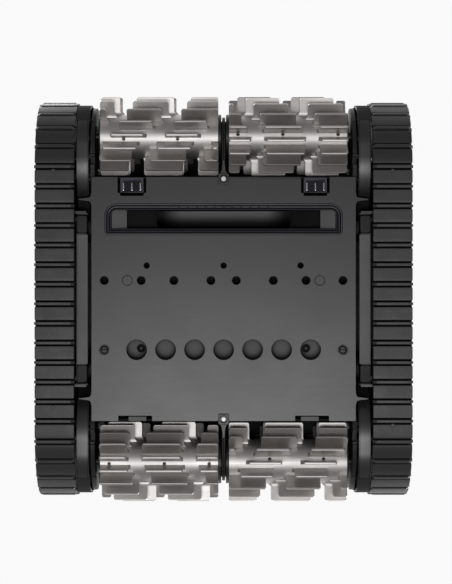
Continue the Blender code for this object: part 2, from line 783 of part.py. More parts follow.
def outlet():
    """The round rear outlet: a ring grille with cross bars, and the impeller behind it."""
    y = (0.2120, 0.2205)
    grille = prism(
        "y",
        y,
        circle(0, OUTLET_Z, OUTLET_R - 0.0006, 16),
        "accent",
        "outlet_grille",
        hole=circle(0, OUTLET_Z, OUTLET_R - 0.005, 16)[::-1],
    )
    bars = []
    for i in range(3):
        bar = box((-OUTLET_R + 0.003, OUTLET_R - 0.003), (-0.0015, 0.0015), (-0.0016, 0.0016))
        bar.data.transform(Matrix.Rotation(math.pi * i / 3, 4, "Y"))
        bar.data.transform(Matrix.Translation((0, 0.2140, OUTLET_Z)))
        bars.append(bar)
    hub = disc("y", (0.2125, 0.2170), 0, OUTLET_Z, 0.009)
    join(grille, *bars, hub)

    rotor = disc("y", (0.180, 0.206), 0, OUTLET_Z, 0.010, "black_plastic", "impeller")
    vanes = []
    for i in range(5):
        vane = box((0.008, 0.036), (-0.011, 0.011), (-0.0012, 0.0012))
        vane.data.transform(Matrix.Rotation(math.radians(32), 4, "X"))
        vane.data.transform(Matrix.Rotation(2 * math.pi * i / 5, 4, "Y"))
        vane.data.transform(Matrix.Translation((0, 0.193, OUTLET_Z)))
        vanes.append(vane)
    join(rotor, *vanes)


def inside_parts():
    """What the hull holds: the filter basket, the battery and the two drive motors."""
    x, y, z = (-0.098, 0.098), (-0.130, 0.040), (0.072, 0.200)
    basket = box(x, y, z, "filter_white", "filter_basket")
    t = 0.0025
    cut(
        basket,
        box((x[0] + t, x[1] - t), (y[0] + t, y[1] - t), (z[0] + t, z[1] + 0.001)),
        box((-0.070, 0.070), (MOUTH_Y[0], MOUTH_Y[1]), (z[0] - 0.001, z[0] + t + 0.001)),
    )
    box((-0.075, 0.075), (-0.050, 0.060), (0.0413, 0.0700), "black_plastic", "battery_pack")
    for side, name in ((-1, "drive_motor_r"), (1, "drive_motor_l")):
        disc("x", mirrored((0.085, 0.1467), side), 0.110, 0.070, 0.020, "steel", name)


def power_button():
    z = (0.2340, 0.2410)
    profile = (
        (z[0], 0),
        (z[0], BUTTON_R),
        (z[1] - 0.0008, BUTTON_R),
        (z[1], BUTTON_R - 0.001),
        (z[1], 0),
    )
    lathe("z", profile, 0, BUTTON_Y, "accent", "power_button")


def build():
    clear_scene()
    for side, side_name in ((1, "l"), (-1, "r")):
        belt(side, "track_belt_" + side_name)
        track_frame(side, "track_frame_" + side_name)
        cover_latch(side, "cover_latch_" + side_name)
        plate_screw("plate_screw_" + side_name, side * PLATE_SCREW_X, CUP_Y, 0.0148, 0.0050)
        plate_screw(
            "cup_screw_" + side_name, side * CUP_SCREW[0], CUP_SCREW[1], 0.0158, 0.0035
        )
        for end, end_name in ((-1, "f"), (1, "b")):
            corner = end_name + side_name
            wheel_set(side, end, corner)
            roller_set(side, end, corner)
            gear_cover(side, end, corner)
    for end, end_name in ((-1, "front"), (1, "rear")):
        centre_bracket(end, "centre_bracket_" + end_name, "bracket_screw_" + end_name)
    bottom_plate()
    suction_inlet()
    chassis_tub()
    lid_hinge_seats(upper_shell())
    lid_and_window()
    carry_handle()
    outlet()
    power_button()
    inside_parts()


build()
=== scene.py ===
"""The tracked pool robot as finished pieces with their materials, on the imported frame.

Everything is in metres in the frame's own axes: +Z up, the front with the suction slot at -Y.
Paired parts are described for the left (+X) and the rear (+Y), and mirrored to where they belong.
The camera looks straight up at the underside, and the floor shows from above only.
"""

import json
import math

import bmesh
import bpy
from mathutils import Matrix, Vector

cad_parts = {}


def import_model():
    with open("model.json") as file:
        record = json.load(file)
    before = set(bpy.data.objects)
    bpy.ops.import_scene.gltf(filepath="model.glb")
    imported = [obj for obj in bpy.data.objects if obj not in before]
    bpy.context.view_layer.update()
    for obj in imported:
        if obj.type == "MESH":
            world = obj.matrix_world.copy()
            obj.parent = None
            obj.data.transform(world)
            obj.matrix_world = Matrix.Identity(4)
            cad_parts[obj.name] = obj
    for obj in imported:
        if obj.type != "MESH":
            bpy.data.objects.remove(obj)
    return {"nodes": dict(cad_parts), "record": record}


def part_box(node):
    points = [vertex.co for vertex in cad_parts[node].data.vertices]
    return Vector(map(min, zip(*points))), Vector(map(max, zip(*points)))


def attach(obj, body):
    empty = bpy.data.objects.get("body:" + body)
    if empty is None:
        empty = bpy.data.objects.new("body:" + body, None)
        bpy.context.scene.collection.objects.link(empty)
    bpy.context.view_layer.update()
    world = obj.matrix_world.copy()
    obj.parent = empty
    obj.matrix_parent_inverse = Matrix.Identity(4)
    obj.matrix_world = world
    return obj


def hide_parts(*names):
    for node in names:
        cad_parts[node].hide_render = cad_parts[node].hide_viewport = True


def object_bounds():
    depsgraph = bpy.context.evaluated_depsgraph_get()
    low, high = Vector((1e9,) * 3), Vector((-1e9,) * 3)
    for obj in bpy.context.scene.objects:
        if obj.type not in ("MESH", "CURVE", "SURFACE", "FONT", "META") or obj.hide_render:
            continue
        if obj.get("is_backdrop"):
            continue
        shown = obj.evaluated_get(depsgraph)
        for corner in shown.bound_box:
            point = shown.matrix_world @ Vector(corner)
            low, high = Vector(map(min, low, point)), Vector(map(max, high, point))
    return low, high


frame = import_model()
CAD_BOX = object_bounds()

JOINTS = {joint["name"]: joint for joint in frame["record"]["behaviour"]["joints"]}
SIDE = {"l": 1, "r": -1}
END = {"f": -1, "b": 1}
BOTH = (-1, 1)
QUARTERS = [(side, end) for end in BOTH for side in BOTH]


def joint_yz(name):
    return tuple(JOINTS[name]["pos_m"][1:])


# Tracks
WHEEL = WHEEL_Y, WHEEL_Z = joint_yz("wheel_spin_bl")
PITCHES = 48
NEUTRAL_R = 0.0795
BAR_R = 0.088
PAD_R = 0.087
BAND_R = 0.0818
BELT_INNER_R = 0.077
LUG_OFFSET = 0.0056
BAR_HALF = 0.0017
GROOVE = 0.0021
BAND_X = (0.1763, 0.2221)
PAD_X = (0.1759, 0.2224)
BAR_X = (0.1757, 0.2232)
NUBS = {"r": (0.2005, (-0.1505, 0.128)), "l": (0.199, (-0.1505, 0.149))}
BEND = math.pi * NEUTRAL_R
RUN_LENGTH = 4 * WHEEL_Y + 2 * BEND
PITCH = RUN_LENGTH / PITCHES

# Brush rollers
ROLLER = ROLLER_Y, ROLLER_Z = joint_yz("brush_spin_bl")
ROLLER_X = (0.0063, 0.147)
ROLLER_HALF = (ROLLER_X[1] - ROLLER_X[0]) / 2
ROLLER_MIDDLE = sum(ROLLER_X) / 2
TIP_R = 0.0477
DRUM_R = 0.0267
GUSSET = 0.0036
BLADES = 18
SHORTEST_BLADE = 0.006
CHANNEL_PITCH = 0.0646
CHANNEL_WIDTH = 0.0145
CHANNEL_SWAY = 0.0285
CHANNEL_MIDDLE = {"r": 0.002, "l": 0.0002}
CHANNEL_TURN = {"r": math.radians(99), "l": math.radians(-18)}
SLEEVE_TURN = {"r": math.radians(117.8), "l": math.radians(-10.4)}
END_TAPER = {"r": (0.0008, 0.0034), "l": (0.0024, 0.001)}
DRAIN_HOLES = {"r": (-11, (-0.0421, 0.022)), "l": (1, (-0.0596, -0.0063, 0.0593))}
DRAIN_R = 0.0021

# Underside
PLATE_X, PLATE_Y = 0.1566, 0.1446
FACE, PLATE_TOP = PLATE_Z = (0.014, 0.018)
RIB_X, RIB_Y = 0.171, 0.118
SLOT_X, SLOT_Y = 0.1409, (-0.113, -0.0757)
MOUTH_Y = (-0.1056, -0.0824)
CUP_PITCH, CUP_Y, CUP_R, CUP_DEPTH = 0.0343, 0.06, 0.012, 0.0085
VENT_Y, VENT_R = -0.0219, 0.0048
VENT_X = (0.015, 0.0588, 0.0975, 0.1412)
PLUG_X, PLUG_R = 0.1138, 0.0054
PIN_HOLE_X, PIN_HOLE_Y, PIN_HOLE_R = 0.091, -0.0396, 0.0033
PLATE_SCREW_X = 0.1412
CUP_SCREW = (0.0977, 0.0584)
LATCH_X = (0.0915, 0.1255)
LATCH_RECESS_Y = (-0.1254, -0.122)
LATCH_TRAVEL = JOINTS["latch_slide_l"]["range_m"][1]
CLIP_X, CLIP_Y = (0.0845, 0.1247), 0.138
FOOT_Y = 0.142

# Hull
WALL = 0.003
TUB_X, TUB_Y, TUB_TOP, TUB_FLOOR = 0.15, 0.145, 0.1017, 0.038
HOOD_X, HOOD_Y = 0.147, 0.218
DISC_Y, DISC_Z, DISC_R = 0.1651, 0.0832, 0.0702
COVER_NOSE = (0.18, 0.068, 0.054)
ARM_X, ARM_TOP, ARM_R = (0.153, 0.158), 0.0985, DISC_R - 0.003
FRAME_Y, FRAME_ARC_R = 0.104, 0.08
FRAME_Z = (0.0155, 0.1605)
RAIL_X, RAIL_Z = (0.1606, 0.1738), (0.0142, 0.019)
SHELL = (  # height, half width, half length, corner radius
    (0.102, 0.147, 0.217, 0.04),
    (0.13, 0.149, 0.2215, 0.044),
    (0.1335, 0.161, 0.222, 0.052),
    (0.18, 0.161, 0.219, 0.054),
    (0.1845, 0.199, 0.218, 0.075),
    (0.218, 0.191, 0.208, 0.078),
    (0.233, 0.168, 0.19, 0.07),
    (0.24, 0.126, 0.166, 0.056),
)
SKIRT = 5
LID_X, LID_Y, LID_Z = 0.104, (-0.14, 0.062), (0.2365, 0.2425)
HINGE = joint_yz("lid_hinge")
HANDLE_X, HANDLE_Y, HANDLE_Z = 0.089, 0.118, (0.2403, 0.2745)
_, IMPELLER_Y, OUTLET_Z = JOINTS["impeller_spin"]["pos_m"]
OUTLET_R = 0.04
BUTTON_Y, BUTTON_R = -0.157, 0.0095
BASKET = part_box("filter_basket")


# Outlines

def arc(u, v, radius, start, end, steps):
    angles = [math.radians(start + (end - start) * i / steps) for i in range(steps + 1)]
    return [(u + radius * math.cos(a), v + radius * math.sin(a)) for a in angles]


def circle(u, v, radius, steps=48):
    return arc(u, v, radius, 0, 360, steps)[:-1]


def rectangle(u, v):
    return [(u[0], v[0]), (u[1], v[0]), (u[1], v[1]), (u[0], v[1])]


def rounded(u, v, radii, steps=10):
    """A rectangle with its own corner radii, from the low-u low-v corner, anticlockwise."""
    if isinstance(radii, float):
        radii = (radii,) * 4
    points = []
    for (i, j, start), radius in zip(((0, 0, 180), (1, 0, 270), (1, 1, 0), (0, 1, 90)), radii):
        cu = u[i] + (radius if i == 0 else -radius)
        cv = v[j] + (radius if j == 0 else -radius)
        points += arc(cu, cv, radius, start, start + 90, steps)
    return points


def soften(points, radius, closed=True, steps=3):
    """Rounds the corners of a line of points."""
    out = []
    for i, corner in enumerate(points):
        if not closed and i in (0, len(points) - 1):
            out.append(tuple(corner))
            continue
        corner = Vector(corner)
        before = Vector(points[i - 1]) - corner
        after = Vector(points[(i + 1) % len(points)]) - corner
        reach = min(radius, 0.45 * before.length, 0.45 * after.length)
        start, stop = corner + before.normalized() * reach, corner + after.normalized() * reach
        for k in range(steps + 1):
            t = k / steps
            out.append(tuple((1 - t) ** 2 * start + 2 * t * (1 - t) * corner + t * t * stop))
    return out


def anticlockwise(outline):
    area = sum(a[0] * b[1] - b[0] * a[1] for a, b in zip(outline, outline[1:] + outline[:1]))
    return outline if area > 0 else outline[::-1]


def inset(outline, distance):
    """Moves the sides of an anticlockwise outline inwards."""
    if not distance:
        return outline
    moved = []
    for before, point, after in zip(outline[-1:] + outline[:-1], outline, outline[1:] + outline[:1]):
        a = (Vector(point) - Vector(before)).normalized()
        b = (Vector(after) - Vector(point)).normalized()
        normals = Vector((-a.y, a.x)), Vector((-b.y, b.x))
        middle = (normals[0] + normals[1]).normalized()
        moved.append(tuple(Vector(point) + middle * distance / max(0.5, middle.dot(normals[0]))))
    return moved


def loops(outline, profile):
    """Rings of points: an outline moved in by each amount of a profile, at its height."""
    return [[(u, v, z) for u, v in inset(outline, by)] for by, z in profile]


def turn(a, b, c):
    return (b[0] - a[0]) * (c[1] - a[1]) - (b[1] - a[1]) * (c[0] - a[0])


def hull(*outlines):
    """The convex outline round several outlines, anticlockwise."""
    points = sorted({(round(u, 9), round(v, 9)) for outline in outlines for u, v in outline})

    def chain(ordered):
        kept = []
        for p in ordered:
            while len(kept) > 1 and turn(kept[-2], kept[-1], p) <= 0:
                kept.pop()
            kept.append(p)
        return kept[:-1]

    return chain(points) + chain(points[::-1])


def at(axis, along, u, v):
    """The point with that value along the axis and u, v along the other two, in X, Y, Z order."""
    return {"x": (along, u, v), "y": (u, along, v), "z": (u, v, along)}[axis]


# Solids

class Shape:
    """Closed shells collected in one mesh, and mirrored as they are added."""

    def __init__(self, side=1, end=1):
        self.bm = bmesh.new()
        self.to(side, end)

    def to(self, side=1, end=1):
        """Puts what is added next on the right if side is -1, and at the front if end is -1."""
        self.side, self.end = side, end
        return self

    def skin(self, rings, closed=False):
        """Joins loops of points one after the other, and closes the ends unless the list is a ring."""
        new = self.bm.verts.new
        made = [[new((self.side * x, self.end * y, z)) for x, y, z in ring] for ring in rings]
        pairs = list(zip(made, made[1:] + made[:1]))
        for low, high in pairs if closed else pairs[:-1]:
            for i in range(len(low)):
                j = (i + 1) % len(low)
                self.bm.faces.new((low[i], low[j], high[j], high[i]))
        if not closed:
            self.bm.faces.new(made[0][::-1])
            self.bm.faces.new(made[-1])
        return self

    def prism(self, axis, span, outline, edge=0.0):
        """An outline pushed along an axis, with its end edges rounded by that much."""
        low, high = span
        outline = anticlockwise(outline)
        steps = ((0, 1), (0.3, 0.3), (1, 0)) if edge else ((0, 0),)
        rings = [(low + depth * edge, amount * edge) for depth, amount in steps]
        rings += [(high - depth * edge, amount * edge) for depth, amount in steps[::-1]]
        return self.skin([[at(axis, along, *p) for p in inset(outline, by)] for along, by in rings])

    def box(self, x, y, z, edge=0.0, corner=0.0):
        outline = rectangle(x, y)
        return self.prism("z", z, soften(outline, corner) if corner else outline, edge)

    def disc(self, axis, span, u, v, radius, steps=48):
        return self.prism(axis, span, circle(u, v, radius, steps))

    def lathe(self, axis, profile, u, v, steps=48, ring=False, soft=0.0):
        """Turns (along, radius) points round an axis. A ring's profile is a closed line."""
        if soft:
            profile = soften(profile, soft, ring)
        turned = [[at(axis, along, *p) for p in circle(u, v, r, steps)] for along, r in profile if r > 0]
        return self.skin(turned, ring)

    def spoke(self, axis, span, centre, angle, ends, edge):
        """A straight rib from one (radius, half width) to another."""
        along = Vector((math.cos(angle), math.sin(angle)))
        across = Vector((-along.y, along.x))
        (near, a), (far, b) = ends
        corners = ((near, -a), (far, -b), (far, b), (near, a))
        outline = [tuple(Vector(centre) + along * r + across * w) for r, w in corners]
        return self.prism(axis, span, outline, edge)


def as_object(name, shape):
    bmesh.ops.recalc_face_normals(shape.bm, faces=shape.bm.faces)
    mesh = bpy.data.meshes.new(name)
    shape.bm.to_mesh(mesh)
    shape.bm.free()
    return linked(name, mesh)


def linked(name, data):
    obj = bpy.data.objects.new(name, data)
    bpy.context.scene.collection.objects.link(obj)
    return obj


def boolean(obj, operation, *shapes):
    tools = [as_object("tool", shape) for shape in shapes]
    for tool in tools:
        modifier = obj.modifiers.new("shape", "BOOLEAN")
        modifier.operation = operation
        modifier.object = tool
        modifier.solver = "EXACT"
    bpy.context.view_layer.update()
    graph = bpy.context.evaluated_depsgraph_get()
    shaped = bpy.data.meshes.new_from_object(obj.evaluated_get(graph))
    obj.modifiers.clear()
    obj.data = shaped
    for tool in tools:
        bpy.data.objects.remove(tool)


def piece(name, shape, look, slot="black_plastic", body="hull", replaces=None, cuts=(), joins=(), sharp=32):
    """A finished piece that rides on a body. Cuts and joins are other shapes."""
    obj = as_object(name, shape)
    if joins:
        boolean(obj, "UNION", *joins)
    if cuts:
        boolean(obj, "DIFFERENCE", *cuts)
    obj.data.materials.clear()
    obj.data.materials.append(LOOKS[look])
    obj.data.shade_smooth()
    obj.data.set_sharp_from_angle(angle=math.radians(sharp))
    normals = obj.modifiers.new("normals", "WEIGHTED_NORMAL")
    normals.keep_sharp = True
    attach(obj, body)
    if replaces:
        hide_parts(replaces)


# Materials

def feed(tree, socket, value):
    """Gives a socket a value, or the output that feeds it."""
    if isinstance(value, bpy.types.NodeSocket):
        tree.links.new(value, socket)
    else:
        socket.default_value = value


def add(tree, kind, inputs=None, **settings):
    node = tree.nodes.new("ShaderNode" + kind)
    for name, value in settings.items():
        setattr(node, name, value)
    for name, value in (inputs or {}).items():
        feed(tree, node.inputs[name], value)
    return node


def spread(tree, value, start, stop, low=0, high=1, interpolation="LINEAR"):
    """Maps start..stop to low..high."""
    inputs = {"Value": value, "From Min": start, "From Max": stop, "To Min": low, "To Max": high}
    return add(tree, "MapRange", inputs, interpolation_type=interpolation).outputs[0]


def blend(tree, factor, a, b, kind="MIX"):
    inputs = {"Factor": factor, "A": a, "B": b}
    return add(tree, "Mix", inputs, data_type="RGBA", blend_type=kind).outputs["Result"]


def grey(value, blue=None):
    return (value, value, value if blue is None else blue)


COAT_ROUGHNESS = 0.12
COARSE, PLAIN, SATIN, FINE = (700, 0.00006), (900, 0.00003), (1400, 0.00002), (2500, 0.000004)


def surface(
    name,
    colour,
    shade,
    roughness,
    grain=PLAIN,
    metallic=0.0,
    specular=0.5,
    coat=0.0,
    cloud=14,
    streaks=None,
    wear=None,
):
    """A moulded or metal surface: cloudy colour and roughness, a fine grain, and lighter convex edges.

    Grain is (scale, height). Streaks stretch the grain: one scale for each axis.
    Edge wear and sheen is the colour along convex edges: partly wear, partly a painted highlight.
    """
    made = bpy.data.materials.new(name)
    made.use_nodes = True
    tree = made.node_tree
    place = add(tree, "TexCoord").outputs["Object"]
    clouds = add(tree, "TexNoise", {"Vector": place, "Scale": cloud, "Detail": 5}).outputs["Fac"]
    if streaks:
        place = add(tree, "Mapping", {"Vector": place, "Scale": streaks}).outputs[0]
    scale = 1 if streaks else grain[0]
    fine = add(tree, "TexNoise", {"Vector": place, "Scale": scale, "Detail": 3}).outputs["Fac"]
    mixed = add(tree, "Mix", {"Factor": 0.45, "A": clouds, "B": fine}).outputs["Result"]
    base = blend(tree, spread(tree, mixed, 0.35, 0.65), (*colour, 1), (*shade, 1))
    # Lighter convex edges: partly wear, partly a painted highlight where edges catch the light.
    if wear:
        edges = spread(tree, add(tree, "NewGeometry").outputs["Pointiness"], 0.52, 0.62, 0, 0.55)
        base = blend(tree, edges, base, (*wear, 1))
    bump = {"Strength": 0.5, "Distance": grain[1], "Height": fine}
    inputs = {
        "Base Color": base,
        "Roughness": spread(tree, mixed, 0.35, 0.65, *roughness),
        "Metallic": metallic,
        "Specular IOR Level": specular,
        "Coat Weight": coat,
        "Normal": add(tree, "Bump", bump).outputs[0],
    }
    if coat:
        inputs["Coat Roughness"] = COAT_ROUGHNESS
    for socket, value in inputs.items():
        feed(tree, tree.nodes["Principled BSDF"].inputs[socket], value)
    return made


RUBBER = dict(roughness=(0.42, 0.52), grain=COARSE, specular=0.62)
CHAMPAGNE = (0.5, 0.41, 0.33), (0.43, 0.35, 0.28)
# Edge colour of the black parts: partly wear, partly a painted edge highlight.
BLACK_EDGE_WEAR_AND_SHEEN = grey(0.07, 0.072)
LOOKS = {
    "rubber": surface(
        "rubber", grey(0.028, 0.029), grey(0.021, 0.022), wear=grey(0.09), cloud=30, **RUBBER
    ),
    # The bars are the belt's own rubber, made lighter as a painted highlight on their raised tops.
    "bar": surface("bar_rubber", grey(0.06), grey(0.048), **RUBBER),
    # The band between the lugs is the same rubber, made darker as painted shade down in the grooves.
    "groove": surface(
        "groove_rubber", grey(0.008, 0.009), grey(0.005, 0.006), (0.6, 0.75), COARSE, specular=0.05
    ),
    # The cups' liners are the plate's plastic painted much lighter, and shaded toward their rims below.
    "cup": surface("cup_grey", grey(0.2), grey(0.18), (0.8, 0.9), specular=0.1),
    # The scoop is painted light grey for the light on its front, and shaded toward its rear and ends below.
    "scoop": surface("scoop_grey", grey(0.2), grey(0.18), (0.6, 0.7), specular=0.1),
    "rail": surface("rail_grey", grey(0.16), grey(0.135), (0.45, 0.58)),
    "plate": surface(
        "plate_grey", grey(0.04), grey(0.034), (0.3, 0.34), (1600, 0.00002), streaks=(60, 900, 900)
    ),
    "thumb": surface(
        "thumb_grey", grey(0.026, 0.033), grey(0.018, 0.023), (0.6, 0.7), specular=0.2, wear=grey(0.16, 0.19)
    ),
    "bezel": surface(
        "bezel_grey", grey(0.022, 0.028), grey(0.017, 0.022), (0.3, 0.4), specular=0.45, wear=grey(0.18, 0.22)
    ),
    "arm": surface("arm_grey", grey(0.022), grey(0.017), (0.5, 0.6), specular=0.3, wear=grey(0.08)),
    "matte": surface("matte_black", grey(0.05, 0.051), grey(0.04, 0.041), (0.85, 0.95), specular=0.1),
    "black": surface(
        "black_moulding", grey(0.014, 0.015), grey(0.01, 0.011), (0.32, 0.46), wear=grey(0.06, 0.062)
    ),
    "cover": surface(
        "satin_black", grey(0.022, 0.024), grey(0.016, 0.017), (0.3, 0.4), SATIN, wear=BLACK_EDGE_WEAR_AND_SHEEN
    ),
    "disc": surface(
        "disc_black", grey(0.024, 0.026), grey(0.017, 0.018), (0.34, 0.42), SATIN,
        specular=1.0, wear=BLACK_EDGE_WEAR_AND_SHEEN,
    ),
    # Black for the throat and the flap, and for thin dark fills that paint shade into grooves, a screw slot
    # and wells.
    "dark": surface("dark_interior", grey(0.01, 0.011), grey(0.007, 0.008), (0.5, 0.7), specular=0.12),
    "silver": surface(
        "satin_silver",
        (0.7, 0.674, 0.655),
        (0.61, 0.587, 0.57),
        (0.45, 0.5),
        (1, 0.000006),
        metallic=0.95,
        streaks=(60, 2200, 2200),
        wear=(0.86, 0.84, 0.82),
    ),
    "steel": surface("turned_steel", grey(0.82), grey(0.74), (0.12, 0.22), FINE, metallic=1.0),
    "bright": surface("plated_steel", grey(0.95), grey(0.92), (0.34, 0.42), FINE, metallic=0.2),
    "blackened": surface(
        "blackened_steel", grey(0.075, 0.078), grey(0.055, 0.058), (0.35, 0.5), metallic=0.5
    ),
    "shell": surface(
        "graphite_shell",
        (0.052, 0.055, 0.06),
        (0.044, 0.047, 0.052),
        (0.26, 0.34),
        (2600, 0.000012),
        metallic=0.35,
        coat=0.5,
    ),
    "window": surface(
        "smoked_window", (0.008, 0.009, 0.011), (0.006, 0.007, 0.009), (0.04, 0.08), (60, 0.00001), coat=0.8
    ),
    "basket": surface("basket_grey", (0.55, 0.58, 0.61), (0.48, 0.51, 0.54), (0.42, 0.55), (1200, 0.00003)),
    "accent": surface("champagne", *CHAMPAGNE, (0.22, 0.32), (1800, 0.000006), metallic=0.9),
}


def paint_shade(look, direction, dark, clear, least):
    """Paints shade into a look: fades its colour along a direction, from that least share at dark to its own
    at clear.
    """
    tree = LOOKS[look].node_tree
    colour = tree.nodes["Principled BSDF"].inputs["Base Color"]
    place = add(tree, "TexCoord").outputs["Object"]
    slope = add(tree, "VectorMath", {0: place, 1: direction}, operation="DOT_PRODUCT").outputs["Value"]
    share = spread(tree, slope, dark, clear, least, 1, "SMOOTHSTEP")
    feed(tree, colour, blend(tree, 1, colour.links[0].from_socket, share, "MULTIPLY"))


# Painted shade: the cups darken toward their rims, most of all toward the rear.
CUP_LEAN = -0.38
CUP_RIM = FACE + CUP_LEAN * CUP_Y
paint_shade("cup", (0, CUP_LEAN, 1), CUP_RIM - 0.0012, CUP_RIM + CUP_DEPTH, 0.08)
# Painted shade: the scoop darkens toward its rear and toward both ends.
paint_shade("scoop", (0, -1, 0), -MOUTH_Y[0] - 0.017, -MOUTH_Y[0] - 0.0005, 0.09)
for way in BOTH:
    paint_shade("scoop", (way, 0, 0), -0.076, -0.045, 0.05)


# Tracks

def belt_point(s, radius):
    """Y and Z of a point at distance s along the neutral line from the middle of the lower run."""
    s %= RUN_LENGTH
    if s <= WHEEL_Y:
        return s, WHEEL_Z - radius
    s -= WHEEL_Y
    if s <= BEND:
        angle = s / NEUTRAL_R
        return WHEEL_Y + radius * math.sin(angle), WHEEL_Z - radius * math.cos(angle)
    s -= BEND
    if s <= 2 * WHEEL_Y:
        return WHEEL_Y - s, WHEEL_Z + radius
    s -= 2 * WHEEL_Y
    if s <= BEND:
        angle = s / NEUTRAL_R
        return -WHEEL_Y - radius * math.sin(angle), WHEEL_Z + radius * math.cos(angle)
    return s - BEND - WHEEL_Y, WHEEL_Z - radius


def lug(shape, span, top, corner, x, rise, steps=5):
    """A block across the belt. Each rise is (step in from its ends, sides moved in, drop)."""
    root = BAND_R - 0.0006
    stations = [(x[0] + step, narrow, drop) for step, narrow, drop in rise]
    stations += [(x[1] - step, narrow, drop) for step, narrow, drop in rise[::-1]]
    rings = []
    for along, narrow, drop in stations:
        low, high, height = span[0] + narrow, span[1] - narrow, top - drop
        c = min(corner, 0.8 * (height - root))
        section = [(low, root), (low, height - c), (low + 0.3 * c, height - 0.3 * c)]
        section += [(low + c + (high - low - 2 * c) * i / steps, height) for i in range(steps + 1)]
        section += [(high - 0.3 * c, height - 0.3 * c), (high, height - c), (high, root)]
        rings.append([(along, *belt_point(s, r)) for s, r in section])
    shape.skin(rings)


PAD_RISE = ((0, 0.0008, 0.0009), (0.0003, 0.0003, 0.0003), (0.001, 0, 0))
BAR_RISE = ((0, 0.0003, 0.004), (0.0005, 0, 0.0033), (0.004, 0, 0.0003), (0.0046, 0, 0))


def track_belt(side):
    pads, bars, band = (Shape(SIDE[side]) for _ in range(3))
    ring = soften(rectangle(BAND_X, (BELT_INNER_R, BAND_R)), 0.0009)
    steps = PITCHES * 6
    stops = [RUN_LENGTH * i / steps for i in range(steps)]
    band.skin([[(x, *belt_point(s, r)) for x, r in ring] for s in stops], closed=True)
    margin = BAR_HALF + GROOVE
    for i in range(PITCHES):
        start = LUG_OFFSET + i * PITCH
        lug(bars, (start - BAR_HALF, start + BAR_HALF), BAR_R, 0.0005, BAR_X, BAR_RISE)
        lug(pads, (start + margin, start + PITCH - margin), PAD_R, 0.0007, PAD_X, PAD_RISE)
    nub_x, places = NUBS[side]
    for y in places:
        pads.lathe("z", ((0.0028, 0.0027), (0.0008, 0.0027), (0.0004, 0.0022)), nub_x, y, 24)
    piece("belt_" + side, pads, "rubber", "track_rubber", replaces="track_belt_" + side)
    # The bars get a lighter copy of the rubber: painted highlight.
    piece("belt_bars_" + side, bars, "bar", "track_rubber")
    # The band gets a darker copy of the rubber: painted shade in the grooves.
    piece("belt_band_" + side, band, "groove", "track_rubber")


def gear(shape, span, teeth, module, centre, first):
    """A spur gear with rounded tooth tips. Flanks are (height over the pitch line, half of a tooth)."""
    flank = ((-0.0042, 0.3), (0.0, 0.235), (0.003, 0.125))
    tooth = [(rise, -half) for rise, half in flank] + [(rise, half) for rise, half in flank[::-1]]
    outline = []
    for i in range(teeth):
        for rise, half in tooth:
            radius, angle = module * teeth / 2 + rise, first + 2 * math.pi * (i + half) / teeth
            outline.append((centre[0] + radius * math.cos(angle), centre[1] + radius * math.sin(angle)))
    shape.prism("x", span, outline, 0.0004)


WHEEL_PROFILE = (
    (0.159, 0.0086), (0.159, 0.02), (0.1805, 0.0205), (0.1805, 0.0764), (0.218, 0.0764),
    (0.218, 0.069), (0.1975, 0.0672), (0.1975, 0.0272), (0.208, 0.025), (0.208, 0.0086),
)
CAP_PROFILE = (
    (0.2084, 0.0), (0.2084, 0.0235), (0.213, 0.0235), (0.2165, 0.019), (0.2165, 0.009),
    (0.215, 0.008), (0.215, 0.0),
)


def track_wheel(end, side):
    corner = end + side
    place = SIDE[side], END[end]
    wheel = Shape(*place).lathe("x", WHEEL_PROFILE, *WHEEL, 96, ring=True, soft=0.0012)
    hub = Shape(*place).lathe("x", CAP_PROFILE, *WHEEL, 64, soft=0.001)
    holes = Shape(*place)
    for i in range(6):
        angle = math.pi * i / 3
        ribs = angle + 0.3 * END[end]
        wheel.spoke("x", (0.196, 0.2085), WHEEL, ribs, ((0.024, 0.0075), (0.0692, 0.0045)), 0.0012)
        spot = (WHEEL_Y + 0.0145 * math.cos(angle), WHEEL_Z + 0.0145 * math.sin(angle))
        holes.disc("x", (0.214, 0.22), *spot, 0.0016, 16)
    toward_roller = math.atan2(ROLLER_Z - WHEEL_Z, ROLLER_Y - WHEEL_Y)
    gear(wheel, (0.16, 0.168), 18, 0.0039, WHEEL, toward_roller)
    body = "wheel_" + corner
    piece(body, wheel, "black", body=body, replaces="track_wheel_" + corner)
    piece("cap_" + corner, hub, "accent", "accent", body, "hub_cap_" + corner, cuts=[holes])


def frame_outline(gap):
    """The side of the beam between the wheels, with its walls moved in by a gap."""
    y, radius = FRAME_Y - gap, FRAME_ARC_R + gap
    low, high = FRAME_Z[0] + gap, FRAME_Z[1] - gap
    reach = math.degrees(math.acos((WHEEL_Y - y) / radius))
    right = arc(*WHEEL, radius, 180 + reach, 180 - reach, 24)
    left = arc(-WHEEL_Y, WHEEL_Z, radius, reach, -reach, 24)
    return [(-y, low), (y, low), *right, (y, high), (-y, high), *left]


